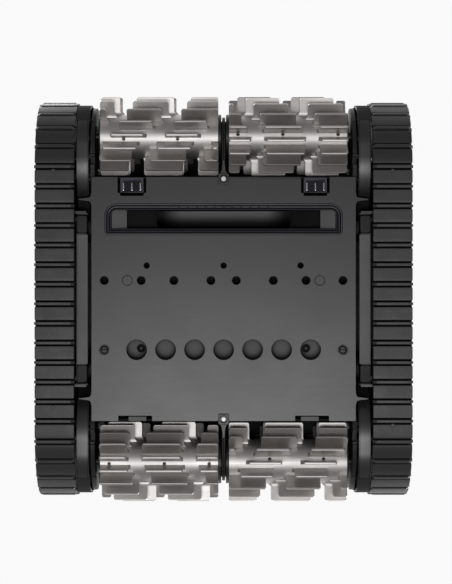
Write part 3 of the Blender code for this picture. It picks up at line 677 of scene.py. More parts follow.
def track_frame(side_name):
    """The beam between the wheels, with its rail, pockets and end blocks seen from below."""
    side = SIDE[side_name]
    beam = Shape(side).prism("x", (0.162, 0.219), frame_outline(0), 0.0012)
    hollow = Shape(side).prism("x", (0.16, 0.215), frame_outline(WALL))
    waist = arc(*WHEEL, 0.092, 220, 140, 24) + arc(-WHEEL_Y, WHEEL_Z, 0.092, 40, -40, 24)
    window = Shape(side).prism("x", (0.2172, 0.222), waist)
    gap = Shape(side).box((0.1741, 0.1766), (-0.101, 0.101), (0.01, 0.03))
    rail = Shape(side).box(RAIL_X, (-0.0765, 0.077), RAIL_Z, 0.001, 0.0015)
    pockets, blocks = Shape(), Shape()
    pocket = ((0.1625, 0.01), (0.1625, 0.0185), (0.168, 0.0215), (0.174, 0.0185), (0.174, 0.01))
    for end in BOTH:
        pockets.to(side, end).prism("y", (0.0775, 0.1015), list(pocket))
        rail.to(side, end).box((0.1606, 0.1736), (0.1003, 0.1014), (0.0142, 0.0185), 0.0004)
        blocks.to(side, end).box((0.1616, 0.174), (0.0782, 0.099), (0.015, 0.03), 0.0012, 0.0032)
    cuts = [hollow, window, pockets, gap]
    piece("beam_" + side_name, beam, "cover", "plate_plastic", replaces="track_frame_" + side_name, cuts=cuts)
    piece("rail_" + side_name, rail, "rail", "plate_plastic")
    piece("rail_ends_" + side_name, blocks, "arm")
    badge = rounded((-0.052, 0.052), (0.0835, 0.0925), 0.0044)
    inlay = Shape(side).prism("x", (0.2168, 0.2184), badge, 0.0006)
    piece("side_inlay_" + side_name, inlay, "accent", "accent")
    ribs = Shape(side)
    for z in [0.038 + 0.006 * i for i in range(4)] + [0.112 + 0.006 * i for i in range(3)]:
        ribs.box((0.216, 0.218), (-0.056, 0.056), (z, z + 0.0024), 0.0006)
    piece("side_ribs_" + side_name, ribs, "black")


# Brush rollers

def channel(phi, hand):
    """Where the middle of a bare channel lies along the roller, and how wide it is there."""
    phase = phi - CHANNEL_TURN[hand]
    middle = CHANNEL_MIDDLE[hand] + CHANNEL_SWAY * math.cos(phase)
    slope = CHANNEL_SWAY * math.sin(phase) / DRUM_R
    return middle, CHANNEL_WIDTH * math.sqrt(1 + slope**2)


def blade_spans(phi, hand):
    """The lengths of roller that one row of blades covers, between the bare channels."""
    middle, width = channel(phi, hand)
    for n in range(-2, 3):
        low = max(middle + n * CHANNEL_PITCH + width / 2, -ROLLER_HALF)
        high = min(middle + (n + 1) * CHANNEL_PITCH - width / 2, ROLLER_HALF)
        if high - low > SHORTEST_BLADE:
            yield low, high


BLADE_PROFILE = (  # half thickness, radius
    (0.003, DRUM_R - 0.0012),
    (0.0022, DRUM_R + 0.0006),
    (0.0017, DRUM_R + 0.0018),
    (0.0015, DRUM_R + GUSSET),
    (0.0014, TIP_R - 0.001),
    (0.0012, TIP_R - 0.0003),
    (0.0007, TIP_R),
)
BLADE_ENDS = ((0, 0.0022), (0.0003, 0.0013), (0.0009, 0.0005), (0.002, 0))


def blade(shape, low, high, tapers, place):
    """A thin blade with a filleted foot and rounded corners, standing on the drum."""
    taper_low = tapers[0] if low > -ROLLER_HALF else 0
    taper_high = tapers[1] if high < ROLLER_HALF else 0
    stations = [(low + step, drop, taper_low) for step, drop in BLADE_ENDS]
    stations += [(high - step, drop, -taper_high) for step, drop in BLADE_ENDS[::-1]]
    section = [(-w, r) for w, r in BLADE_PROFILE] + list(BLADE_PROFILE[::-1])
    rings = []
    for x, drop, taper in stations:
        ring = []
        for w, r in section:
            height = max(0, r - DRUM_R)
            shift = taper * min(1, height / GUSSET)
            ring.append(place(x + shift, w, r - drop * (height / (TIP_R - DRUM_R)) ** 2))
        rings.append(ring)
    shape.skin(rings)


CORE_PROFILE = (
    (0.0006, 0.0), (0.0006, 0.005), (0.0028, 0.005), (0.0028, 0.0262), (0.0061, 0.0265), (0.0061, 0.0228),
    (0.1472, 0.0228), (0.1472, 0.0265), (0.1486, 0.0262), (0.1486, 0.006), (0.17, 0.006), (0.17, 0.0),
)


def brush_roller(end_name, side_name):
    """Rollers at opposite corners have the same hand, turned half round."""
    corner = end_name + side_name
    side, end = SIDE[side_name], END[end_name]
    hand = "l" if side * end < 0 else "r"
    middle = side * ROLLER_MIDDLE

    def row(phi):
        """Maps a point along, across and out from the roller's axis to where that row stands."""

        def place(x, w, r):
            y = -r * math.sin(phi) + w * math.cos(phi)
            z = -r * math.cos(phi) - w * math.sin(phi)
            return middle - end * x, end * (ROLLER_Y - y), ROLLER_Z + z

        return place

    inner_r = 0.0233
    profile = soften(rectangle((-ROLLER_HALF, ROLLER_HALF), (inner_r, DRUM_R)), 0.0006)
    profile = [(middle + x, r) for x, r in profile]
    sleeve = Shape().lathe("x", profile, end * ROLLER_Y, ROLLER_Z, 108, ring=True)
    holes, blades = Shape(), Shape()
    angle, places = DRAIN_HOLES[hand]
    out = row(math.radians(angle))
    for x in places:
        rim = circle(x, 0, DRAIN_R, 20)
        holes.skin([[out(a, b, r) for a, b in rim] for r in (DRUM_R - 0.005, DRUM_R + 0.002)])
    for i in range(BLADES):
        phi = SLEEVE_TURN[hand] + 2 * math.pi * i / BLADES
        for low, high in blade_spans(phi, hand):
            blade(blades, low, high, END_TAPER[hand], row(phi))
    core = Shape(side, end).lathe("x", CORE_PROFILE, *ROLLER, 64, soft=0.0004)
    body = "brush_" + corner
    piece("drum_" + corner, sleeve, "silver", "brush_silver", body, "brush_sleeve_" + corner, cuts=[holes])
    piece("blades_" + corner, blades, "silver", "brush_silver", body)
    piece("core_" + corner, core, "black", body=body, replaces="brush_core_" + corner)


COVER_PROFILE = (  # place along X, how far the outline moves in
    (0.16, 0.0045), (0.16, 0.0008), (0.1603, 0.0002), (0.1608, 0.0002), (0.161, 0.0012),
    (0.1615, 0.0012), (0.1617, 0.0001), (0.165, 0.0), (0.17, 0.0), (0.1731, 0.0001),
    (0.1733, 0.0012), (0.1738, 0.0012), (0.174, 0.0002), (0.1745, 0.0008), (0.1745, 0.0045),
)
HOOD_OUTLINE = (
    (0.14, 0.146), (0.159, 0.146), (0.159, 0.233), (0.1522, 0.227), (0.1522, 0.2116), (0.14, 0.2116),
)
CHEEK_OUTLINE = ((0.1597, 0.2125), (0.1597, 0.2335), (0.156, 0.2318), (0.1528, 0.2262), (0.1526, 0.2125))


def gear_cover(end, side):
    """The round cover over the brush gears, with fine rims, and the arm that carries the roller's end."""
    corner = end + side
    place = SIDE[side], END[end]
    outline = hull(circle(DISC_Y, DISC_Z, DISC_R, 128), circle(*COVER_NOSE, 96))
    rings = [[(x, *p) for p in inset(outline, drop)] for x, drop in COVER_PROFILE]
    cover = Shape(*place).skin(rings, closed=True)
    piece("cover_" + corner, cover, "disc", replaces="gear_cover_" + corner, sharp=50)
    outer, under = (
        sorted((p for p in inset(outline, depth) if p[0] > 0.212 and p[1] < 0.095), key=lambda p: p[1])
        for depth in (-0.00025, 0.0006)
    )
    guard = Shape(*place).prism("x", (0.1597, 0.1748), outer + under[::-1])
    piece("cover_end_" + corner, guard, "matte")

    chord = math.degrees(math.asin((ARM_TOP - DISC_Z) / ARM_R))
    bow = [(DISC_Y - u, v) for u, v in arc(0, DISC_Z, ARM_R, -180 - chord, chord, 72)]
    arm = Shape(*place).prism("x", ARM_X, bow, 0.0006)
    notch = Shape(*place).box((0.15, 0.16), (0.159, 0.169), (0, 0.026))
    for line in (0.1535, 0.172, 0.2116):
        notch.box((0.15, 0.16), (line, line + 0.0008), (0, 0.05))
    axles = Shape(*place).disc("x", (0.149, 0.163), *WHEEL, 0.0086, 32)
    axles.disc("x", (0.149, 0.163), *ROLLER, 0.0068, 32)
    piece("arm_" + corner, arm, "arm", cuts=[notch, axles])
    hood = Shape(*place).prism("z", (0.0988, 0.101), soften(HOOD_OUTLINE, 0.0025), 0.0006)
    piece("arm_hood_" + corner, hood, "black")
    cheek = Shape(*place).prism("z", (0.076, 0.1), soften(CHEEK_OUTLINE, 0.0012), 0.0008)
    piece("arm_cap_" + corner, cheek, "arm")


WELL_PROFILE = ((0.01, 0.0046), (0.0114, 0.0046), (0.0124, 0.004), (0.015, 0.004))
SCREW_PROFILE = (
    (0.0098, 0.0), (0.0098, 0.0022), (0.0102, 0.0029), (0.0108, 0.0032), (0.012, 0.0032),
    (0.012, 0.0013), (0.0176, 0.0013), (0.0176, 0.0),
)


def centre_bracket(name, long_name):
    """A thin web between two rollers, flared where it meets the hull, with a screwed foot."""
    place = 1, END[name]
    outline = hull(circle(*ROLLER, 0.023, 48), [(0.1455, 0.0114), (0.1455, 0.07)])
    web = Shape(*place).prism("x", (-0.0011, 0.0011), outline, 0.0005)
    web.prism("x", (-0.0021, 0.0021), circle(*ROLLER, 0.0095, 40), 0.0006)
    widths = ((0.1455, 0.0052), (0.148, 0.004), (0.152, 0.0022), (0.158, 0.0012), (0.164, 0.001))
    rings = [[(x, y, z) for x, z in rectangle((-half, half), (0.0122, 0.064))] for y, half in widths]
    flare = Shape(*place).skin(rings)
    bore = Shape(*place).disc("x", (-0.004, 0.004), *ROLLER, 0.0055, 32)
    piece("web_" + name, web, "black", replaces="centre_bracket_" + long_name, joins=[flare], cuts=[bore])
    rim = Shape(*place).prism("x", (-0.0019, 0.0019), outline, 0.0006)
    inside = Shape(*place).prism("x", (-0.003, 0.003), inset(outline, 0.0022))
    piece("web_rim_" + name, rim, "cover", cuts=[inside])
    sole = rounded((-0.0063, 0.0063), (0.1357, 0.1485), 0.0016, 5)
    foot = Shape(*place).prism("z", (0.0112, 0.0139), sole, 0.0006)
    well = Shape(*place).lathe("z", WELL_PROFILE, 0, FOOT_Y, 32)
    piece("foot_" + name, foot, "black", cuts=[well])
    screw = Shape(*place).lathe("z", SCREW_PROFILE, 0, FOOT_Y, 40, soft=0.0004)
    recess = Shape(*place).prism("z", (0.009, 0.0102), circle(0, FOOT_Y, 0.0008, 6))
    node = "bracket_screw_" + long_name
    piece("foot_screw_" + name, screw, "bright", "steel", replaces=node, cuts=[recess])


# Underside

def plate_tools():
    """Everything that is cut out of the bottom plate, apart from the cups."""
    below, above = FACE - 0.001, PLATE_TOP + 0.001
    through = (below, above)
    tools = Shape()

    def hole(x, y, radius):
        flare, wide = 0.0006, radius + 0.0006
        profile = ((below, wide), (FACE, wide), (FACE + flare, radius), (above + 0.012, radius))
        tools.lathe("z", profile, x, y, 40)

    for x in (-PIN_HOLE_X, 0, PIN_HOLE_X):
        hole(x, PIN_HOLE_Y, PIN_HOLE_R)
    tools.prism("z", through, rounded((-SLOT_X, SLOT_X), SLOT_Y, (0.014, 0.014, 0.005, 0.005)))
    x0, x1 = LATCH_X
    y0, y1 = LATCH_RECESS_Y
    step = 0.003
    edge = -PLATE_Y - 0.002
    recess = [
        (x0, edge), (x1, edge), (x1, y0), (x1 - step, y0),
        (x1 - step, y1), (x0 + step, y1), (x0 + step, y0), (x0, y0),
    ]
    plug = rectangle((below, FACE + 0.002), (PLUG_R, PLUG_R + 0.0008))
    screw = (
        (below, 0.0064), (FACE, 0.0064), (FACE + 0.0004, 0.006), (FACE + 0.0032, 0.006),
        (FACE + 0.0032, 0.0026), (above, 0.0026),
    )
    for side in BOTH:
        tools.to(side)
        for x in VENT_X:
            hole(x, VENT_Y, VENT_R)
        tools.lathe("z", plug, PLUG_X, VENT_Y, ring=True)
        tools.lathe("z", screw, PLATE_SCREW_X, CUP_Y, 40)
        tools.prism("z", through, soften(recess, 0.001))
        tools.prism("z", through, soften(rectangle(CLIP_X, (CLIP_Y, PLATE_Y + 0.002)), 0.0009))
        mark = arc(0.046, -0.1218, 0.0052, 20, 160, 12) + arc(0.046, -0.1218, 0.0046, 160, 20, 12)
        tools.prism("z", (below, FACE + 0.00035), mark)
    for end in BOTH:
        tools.to(1, end).disc("z", through, 0, FOOT_Y, 0.0016, 24)
    return tools


def plate_outline():
    """The plate with a pointed lug at each end of its side ribs."""
    x, y, rib = PLATE_X, PLATE_Y, 0.0008
    corner = [(x, RIB_Y - 0.009), (x + 0.001, RIB_Y - 0.0024), (RIB_X, RIB_Y - rib)]
    corner = soften(corner, 0.006, closed=False, steps=6)
    corner += [(RIB_X + 0.0005, RIB_Y - 0.0004), (RIB_X + 0.0005, RIB_Y + 0.0004)]
    far = [(RIB_X, RIB_Y + rib), (x + 0.001, RIB_Y + 0.0024), (x, RIB_Y + 0.009)]
    corner += soften(far, 0.006, closed=False, steps=6)
    corner += soften([(x, RIB_Y + 0.012), (x, y), (x - 0.008, y)], 0.0015, closed=False)
    half = corner + [(-u, v) for u, v in corner[::-1]]
    return half + [(-u, -v) for u, v in half]


def bottom_plate():
    plate = Shape().prism("z", PLATE_Z, plate_outline(), 0.0005)
    top = FACE + CUP_DEPTH + 0.003
    sphere = (CUP_R**2 + CUP_DEPTH**2) / (2 * CUP_DEPTH)
    reach = math.asin(CUP_R / sphere)
    bosses, bowls, liners = Shape(), Shape(), Shape()

    def bowl(grow):
        centre = FACE + CUP_DEPTH - sphere
        angles = [reach * (1 - k / 12) for k in range(12)] + [0.02]
        return [(centre + (sphere + grow) * math.cos(a), (sphere + grow) * math.sin(a)) for a in angles]

    for i in range(-3, 4):
        place = i * CUP_PITCH, CUP_Y
        bosses.disc("z", (PLATE_TOP - 0.001, top), *place, CUP_R + 0.002)
        bowls.lathe("z", [(FACE - 0.001, CUP_R + 0.0005)] + bowl(0.0003), *place, 64)
        # The liners carry painted light and shade over the bowls.
        liners.lathe("z", bowl(0)[::-1] + bowl(0.0006), *place, 64)

    def screw_wells():
        wells = Shape()
        for side in BOTH:
            wells.to(side).disc("z", (FACE - 0.001, top + 0.002), *CUP_SCREW, 0.0052, 40)
        return wells

    shaping = dict(joins=[bosses], cuts=[bowls, screw_wells(), plate_tools()], sharp=40)
    piece("plate", plate, "plate", "plate_plastic", replaces="bottom_plate", **shaping)
    piece("cup_liners", liners, "cup", "plate_plastic", cuts=[screw_wells()])
    rings, ridges = Shape(), Shape()
    # Dark rings down the groove round each plug: painted shade.
    ring = rectangle((FACE + 0.0003, FACE + 0.0013), (PLUG_R, PLUG_R + 0.0008))
    for side, end in QUARTERS:
        ridges.to(side, end).box((0.156, 0.1715), (RIB_Y - 0.0007, RIB_Y + 0.0007), (0.0145, 0.03), 0.0004)
    for side in BOTH:
        rings.to(side).lathe("z", ring, PLUG_X, VENT_Y, ring=True)
    piece("plug_rings", rings, "dark", "plate_plastic")
    piece("plate_ridges", ridges, "rail", "plate_plastic")


def plate_screws(side_name):
    """A slotted plate screw with a dark fill in its slot as painted shade, and a small screw down a well in
    the outermost cup, whose black lining is painted shade.
    """
    side, face = SIDE[side_name], 0.0148
    head = (
        (face, 0.0), (face, 0.003), (face + 0.0006, 0.0048), (face + 0.0014, 0.0052), (face + 0.0021, 0.0052),
        (face + 0.0021, 0.0022), (face + 0.015, 0.0022), (face + 0.015, 0.0),
    )
    screw = Shape(side).lathe("z", head, PLATE_SCREW_X, CUP_Y, 40, soft=0.0005)
    # The second box is a dark fill inside the screw's slot: painted shade.
    slot, shade = (
        Shape(side).box((PLATE_SCREW_X - half, PLATE_SCREW_X + half), (CUP_Y - 0.0006, CUP_Y + 0.0006), z)
        for half, z in ((0.01, (face - 0.001, face + 0.002)), (0.005, (face + 0.0009, face + 0.0018)))
    )
    node = "plate_screw_" + side_name
    piece("plate_screw_head_" + side_name, screw, "black", "steel", replaces=node, cuts=[slot])
    piece("plate_screw_slot_" + side_name, shade, "dark", "steel")
    head = (
        (0.0195, 0.0), (0.0195, 0.0008), (0.0201, 0.0014), (0.0212, 0.0016), (0.0212, 0.0014),
        (0.03, 0.0014), (0.03, 0.0),
    )
    pin = Shape(side).lathe("z", head, *CUP_SCREW, 32, soft=0.0003)
    piece("cup_screw_head_" + side_name, pin, "rail", "steel", replaces="cup_screw_" + side_name)
    # The well's dark lining stands in for the shade down the well: painted shade.
    well = (
        (0.0186, 0.005), (0.03, 0.005), (0.03, 0.0036), (0.0222, 0.0036), (0.0222, 0.002),
        (0.0216, 0.002), (0.0216, 0.0044), (0.0186, 0.0044),
    )
    sleeve = Shape(side).lathe("z", well, *CUP_SCREW, 40, ring=True)
    piece("cup_well_" + side_name, sleeve, "dark")


BEZEL_PROFILE = (  # how far in from the slot's edge, height
    (0.0, 0.0186), (0.0, 0.0142), (0.0003, 0.0136), (0.001, 0.0134), (0.0016, 0.0136), (0.0018, 0.015),
    (0.003, 0.015), (0.0032, 0.0139), (0.0037, 0.0136), (0.0043, 0.0137), (0.0046, 0.0142), (0.0048, 0.0158),
    (0.006, 0.0158), (0.0062, 0.0147), (0.0068, 0.0145), (0.0072, 0.015), (0.0074, 0.0186),
)


def suction_bezel():
    clear = 0.0003
    span_x, span_y = (-SLOT_X + clear, SLOT_X - clear), (SLOT_Y[0] + clear, SLOT_Y[1] - clear)
    outer = rounded(span_x, span_y, (0.0137, 0.0137, 0.0047, 0.0047), 12)
    bezel = Shape().skin(loops(outer, BEZEL_PROFILE), closed=True)
    ticks, lines = Shape(), Shape()
    for i in range(11):
        x = -0.0525 + 0.0105 * i
        ticks.box((x - 0.0012, x + 0.0012), (SLOT_Y[0] + 0.0034, SLOT_Y[0] + 0.0046), (0.013, 0.0146))
    piece("bezel", bezel, "bezel", replaces="suction_bezel", cuts=[ticks], sharp=40)
    # Dark rings laid in the bezel's two grooves: painted shade.
    for start, z in ((0.0018, 0.0146), (0.0048, 0.0152)):
        lines.skin(loops(outer, rectangle((start, start + 0.0012), (z, z + 0.0008))), closed=True)
    piece("bezel_lines", lines, "dark")


def suction_throat():
    """The box behind the slot: sloped ends, a hall, a duct upward, and a rolled scoop at the front."""
    front, rear = MOUTH_Y
    throat = Shape().box((-0.136, 0.136), (front - 0.003, rear + 0.003), (0.0188, 0.05), 0.0008)
    inner = (front + 0.0002, rear - 0.0002)
    slopes, ramps = Shape(), Shape()
    for side in BOTH:
        slope = [(0.1148, 0.018), (0.1148, 0.0245), (0.132, 0.0196), (0.133, 0.018)]
        slopes.to(side).prism("y", inner, slope)
        ramp = [(0.115, 0.024), (0.1325, 0.0188), (0.1325, 0.02), (0.115, 0.0252)]
        ramps.to(side).prism("y", inner, ramp, 0.0002)
    hall = Shape().box((-0.115, 0.115), inner, (0.018, 0.0335))
    duct = Shape().box((-0.0788, 0.0788), (front + 0.0117, rear - 0.0002), (0.03, 0.051))
    chamber = Shape().box((-0.0788, 0.0788), inner, (0.0372, 0.051))
    piece("throat", throat, "dark", replaces="suction_throat", cuts=[slopes, hall, duct, chamber])
    piece("throat_ramps", ramps, "rail")
    # The scoop's colour is painted light at the front and painted shade toward its rear and ends.
    roll = (front + 0.0016, 0.0385)
    section = arc(*roll, 0.019, -90, -6, 24) + arc(*roll, 0.0178, -6, -90, 24)
    piece("throat_scoop", Shape().prism("x", (-0.0792, 0.0792), section), "scoop")


def inlet_flap():
    low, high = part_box("inlet_flap")
    knuckle = arc(*joint_yz("flap_hinge"), 0.0016, 80, -80, 10)
    leaf = [(-0.0995, 0.0412), (low[1], 0.0436), (low[1] + 0.0005, 0.045), (-0.099, 0.0429)]
    flap = Shape().prism("x", (low[0], high[0]), soften(knuckle + leaf, 0.0005), 0.0004)
    piece("flap", flap, "dark", body="flap", replaces="inlet_flap")


def cover_latch(side_name):
    low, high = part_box("cover_latch_" + side_name)
    body = "latch_" + side_name
    outline = rectangle((low[0], high[0]), (-0.1438, LATCH_RECESS_Y[1] - LATCH_TRAVEL - 0.0003))
    latch = Shape().prism("z", (0.0148, 0.018), soften(outline, 0.0008), 0.0004)
    middle = (low[0] + high[0]) / 2
    grooves, ribs = Shape(), Shape()
    for x in (middle - 0.005, middle + 0.005):
        grooves.box((x - 0.0033, x + 0.0033), (-0.1385, -0.1272), (0.014, 0.0156))
    for x in (middle - 0.01, middle, middle + 0.01):
        ribs.box((x - 0.00085, x + 0.00085), (-0.1374, -0.1282), (0.0128, 0.015), 0.0004, 0.0005)
    node = "cover_latch_" + side_name
    piece(body + "_thumb", latch, "thumb", body=body, replaces=node, cuts=[grooves])
    piece(body + "_ribs", ribs, "steel", body=body)


# Hull

def chassis_tub():
    plan = rounded((-TUB_X, TUB_X), (-TUB_Y, TUB_Y), 0.003, 5)
    tub = Shape().prism("z", (PLATE_TOP + 0.0003, TUB_TOP), plan, 0.0008)
    plan = rounded((-HOOD_X, HOOD_X), (-HOOD_Y, HOOD_Y), 0.038, 16)
    hood = Shape().prism("z", (TUB_TOP - 0.004, TUB_TOP), plan, 0.0012)
    hooks, tabs = Shape(), Shape()
    for side in BOTH:
        hooks.to(side).box((0.0912, 0.1128), (0.1385, 0.144), (0.0146, 0.0205), 0.0006, 0.0006)
        tabs.to(side).box((0.0915, 0.1125), (0.1392, 0.1442), (0.0142, 0.015), 0.0003, 0.0005)
    x, y = (-TUB_X + WALL, TUB_X - WALL), (-TUB_Y + WALL, TUB_Y - WALL)
    inside = Shape().box(x, y, (TUB_FLOOR + WALL, TUB_TOP + 0.001))
    under = Shape().box(x, y, (PLATE_TOP - 0.001, TUB_FLOOR))
    gap = (MOUTH_Y[0] - 0.0036, MOUTH_Y[1] + 0.0036)
    throat = Shape().box((-0.1366, 0.1366), gap, (TUB_FLOOR - 0.001, TUB_FLOOR + 0.004))
    piece("tub", tub, "dark", replaces="chassis_tub", joins=[hood, hooks], cuts=[inside, under, throat])
    piece("rear_tabs", tabs, "rail")


def curve(p, q, r, s, t):
    """A smooth curve from q to r that leaves and arrives in line with p and s."""
    return 0.5 * (2 * q + (r - p) * t + (2 * p - 5 * q + 4 * r - s) * t**2 + (3 * q - p - 3 * r + s) * t**3)


def smooth_sections():
    """The shell's sections above its skirt, filled in along a smooth curve."""
    upper = (SHELL[SKIRT - 1], *SHELL[SKIRT - 1:], SHELL[-1])
    filled = []
    for before, a, b, after in zip(upper, upper[1:], upper[2:], upper[3:]):
        for k in range(1, 7):
            filled.append(tuple(curve(*values, k / 6) for values in zip(before, a, b, after)))
    return filled


def loft(sections):
    rings = []
    for z, x, y, r in sections:
        rings.append([(u, v, z) for u, v in rounded((-x, x), (-y, y), float(r), 16)])
    return Shape().skin(rings)


def shell_seams():
    """Two fine grooves round the hull's sides."""
    seams = Shape()
    band = rounded((-0.165, 0.165), (-0.228, 0.228), 0.058, 16)
    core = rounded((-0.1602, 0.1602), (-0.2188, 0.2188), 0.053, 16)
    for low in (0.14, 0.174):
        high = low + 0.001
        lines = (band, low), (band, high), (core, high), (core, low)
        seams.skin([[(u, v, z) for u, v in line] for line, z in lines], closed=True)
    return seams


TRIM_PROFILE = ((0.1848, 0.0002), (0.185, 0.0014), (0.1862, 0.0018), (0.1874, 0.0014), (0.1876, 0.0002))


def upper_shell():
    skirt, upper = list(SHELL[:SKIRT]), smooth_sections()
    inner = [(z + (WALL if z < 0.2 else -WALL), x - WALL, y - WALL, r - WALL) for z, x, y, r in skirt + upper]
    inner = [s for i, s in enumerate(inner) if i < SKIRT or s[0] > inner[SKIRT - 1][0] + 0.002]
    inner[0] = (SHELL[0][0] - 0.001, *inner[0][1:])
    z, x, y, r = SHELL[SKIRT - 1]
    shell = loft(skirt + [(z + 0.001, x + 0.0009, y + 0.0004, r)] + upper)
    lid = Shape().prism("z", (0.23, 0.25), rounded((-LID_X, LID_X), LID_Y, 0.02))
    button = Shape().disc("z", (0.225, 0.25), 0, BUTTON_Y, BUTTON_R + 0.0006)
    outlet = Shape().disc("y", (0.2, 0.23), 0, OUTLET_Z, OUTLET_R, 64)
    pin = Shape().disc("x", (-0.1, 0.1), *HINGE, 0.002, 24)
    ears, bumper = Shape(), Shape()
    for side in BOTH:
        ear = hull(circle(*HINGE, 0.0042, 32), [(0.064, 0.2385), (0.08, 0.2385)])
        ears.to(side).prism("x", (0.0806, 0.0925), ear, 0.0006)
    cuts = [loft(inner), lid, button, outlet, shell_seams(), pin]
    piece("shell", shell, "shell", "shell_plastic", replaces="upper_shell", joins=[ears], cuts=cuts)

    plan = rounded((-x, x), (-y, y), r, 16)
    back = rounded((-x + 0.0012, x - 0.0012), (-y + 0.0012, y - 0.0012), r - 0.0012, 16)
    trim = []
    for height, grow in TRIM_PROFILE:
        wide, long = x + grow, y + grow
        trim.append([(u, v, height) for u, v in rounded((-wide, wide), (-long, long), r + grow, 16)])
    trim += [[(u, v, height) for u, v in back] for height in (TRIM_PROFILE[-1][0], TRIM_PROFILE[0][0])]
    piece("shell_trim", Shape().skin(trim, closed=True), "accent", "accent")
    for side, end in QUARTERS:
        for i in range(4):
            height = 0.148 + 0.0062 * i
            near, far = (0.062, 0.102) if end > 0 else (0.04, 0.102)
            ribs = (near, far - 0.004 * i)
            bumper.to(side, end).box(ribs, (0.215, 0.2226), (height, height + 0.003), 0.001)
    piece("bumper_ribs", bumper, "black")


def lid():
    gap = 0.0008
    outline = rounded((-LID_X + gap, LID_X - gap), (LID_Y[0] + gap, LID_Y[1] - gap), 0.0192, 12)
    panel = Shape().prism("z", LID_Z, outline, 0.0012)
    bottom, top = LID_Z
    knuckles = Shape()
    for side in BOTH:
        ear = hull(circle(*HINGE, 0.0042, 32), [(LID_Y[1] - 0.006, 0.2405), (LID_Y[1] - 0.006, top)])
        knuckles.to(side).prism("x", (0.05, 0.08), ear, 0.0006)
    recess = rounded((-0.0722, 0.0722), (-0.1122, 0.0262), 0.0142)
    well = Shape().prism("z", (top - 0.0028, top + 0.001), recess)
    window = Shape().prism("z", (bottom - 0.001, top), rounded((-0.06, 0.06), (-0.1, 0.014), 0.01))
    pin = Shape().disc("x", (-0.09, 0.09), *HINGE, 0.002, 24)
    lip = Shape().prism("z", (top - 0.0008, top + 0.001), rounded((-0.02, 0.02), (-0.14, -0.1315), 0.004))
    cuts = [well, window, pin, lip]
    piece("lid_panel", panel, "shell", "shell_plastic", "lid", "top_lid", joins=[knuckles], cuts=cuts)
    pane = rounded((-0.0717, 0.0717), (-0.1117, 0.0257), 0.0137, 12)
    glass = Shape().prism("z", (top - 0.0025, top + 0.0006), pane, 0.0006)
    piece("lid_pane", glass, "window", "smoked_window", "lid", "lid_window")
    seal = (
        (0.004, 0.2362), (0.004, 0.2356), (0.0046, 0.2352),
        (0.0062, 0.2352), (0.0068, 0.2356), (0.0068, 0.2362),
    )
    piece("lid_seal", Shape().skin(loops(outline, seal), closed=True), "rubber", body="lid")
    rod = ((-0.0962, 0.0011), (-0.0957, 0.0016), (0.0957, 0.0016), (0.0962, 0.0011))
    piece("hinge_pin", Shape().lathe("x", rod, *HINGE, 24), "steel", "steel", replaces="lid_hinge_pin")
    rim = rounded((-LID_X - 0.006, LID_X + 0.006), (LID_Y[0] - 0.006, LID_Y[1] + 0.001), 0.025, 12)
    bead = (
        (0.0, 0.2385), (0.0, 0.2402), (0.0006, 0.2408),
        (0.003, 0.2408), (0.0036, 0.2402), (0.0036, 0.2385),
    )
    piece("lid_frame", Shape().skin(loops(rim, bead), closed=True), "accent", "shell_plastic")


def sweep(line, half_y, half_out, power=3.2, steps=40):
    """A bar with a squarish oval section along a line in X and Z, at the handle's place."""
    rings = []
    for i, point in enumerate(line):
        before, after = Vector(line[max(0, i - 1)]), Vector(line[min(len(line) - 1, i + 1)])
        along = (after - before).normalized()
        ring = []
        for k in range(steps):
            angle = 2 * math.pi * k / steps
            c, s = math.cos(angle), math.sin(angle)
            y = half_y * math.copysign(abs(c) ** (2 / power), c)
            out = half_out * math.copysign(abs(s) ** (2 / power), s)
            ring.append((point[0] - along.y * out, HANDLE_Y + y, point[1] + along.x * out))
        rings.append(ring)
    return Shape().skin(rings)


def carry_handle():
    low, high = HANDLE_Z
    path = [(-HANDLE_X, low), (-HANDLE_X, high), (HANDLE_X, high), (HANDLE_X, low)]
    path = soften(path, 0.022, closed=False, steps=12)
    piece("handle", sweep(path, 0.0138, 0.0064), "shell", "shell_plastic", replaces="carry_handle")
    rings = []
    for x, grow in (
        (-0.058, -0.001), (-0.0576, 0.0002), (-0.0566, 0.0006),
        (0.0566, 0.0006), (0.0576, 0.0002), (0.058, -0.001),
    ):
        y = (HANDLE_Y - 0.0136 - grow, HANDLE_Y + 0.0136 + grow)
        z = (0.268 - grow, 0.2806 + grow * 0.5)
        rings.append([(x, u, v) for u, v in rounded(y, z, 0.0058, 8)])
    grooves, feet = Shape(), Shape()
    for i in range(13):
        x = -0.048 + 0.008 * i
        grooves.box((x - 0.0008, x + 0.0008), (HANDLE_Y - 0.02, HANDLE_Y + 0.02), (0.264, 0.2684))
    piece("handle_grip", Shape().skin(rings), "rubber", "shell_plastic", cuts=[grooves])
    for side in BOTH:
        x, y = (HANDLE_X - 0.0105, HANDLE_X + 0.0105), (HANDLE_Y - 0.018, HANDLE_Y + 0.018)
        feet.to(side).prism("z", (0.238, 0.2422), rounded(x, y, 0.008), 0.001)
    piece("handle_feet", feet, "black", "shell_plastic")


RING_PROFILE = (
    (0.2118, 0.0398), (0.2205, 0.0398), (0.2222, 0.0385),
    (0.2222, 0.0362), (0.2205, 0.0348), (0.2118, 0.0348),
)
BOSS_PROFILE = ((0.212, 0.0), (0.212, 0.0085), (0.219, 0.0085), (0.2204, 0.007), (0.2204, 0.0))
ROTOR_PROFILE = ((0.18, 0.0), (0.18, 0.01), (0.201, 0.01), (0.205, 0.007), (0.206, 0.003), (0.206, 0.0))
VANE_SECTION = ((-1, 0.2), (-0.5, 1), (0.5, 1), (1, 0.2), (1, -0.2), (0.5, -1), (-0.5, -1), (-1, -0.2))
VANE_R = (0.0085, 0.0352)


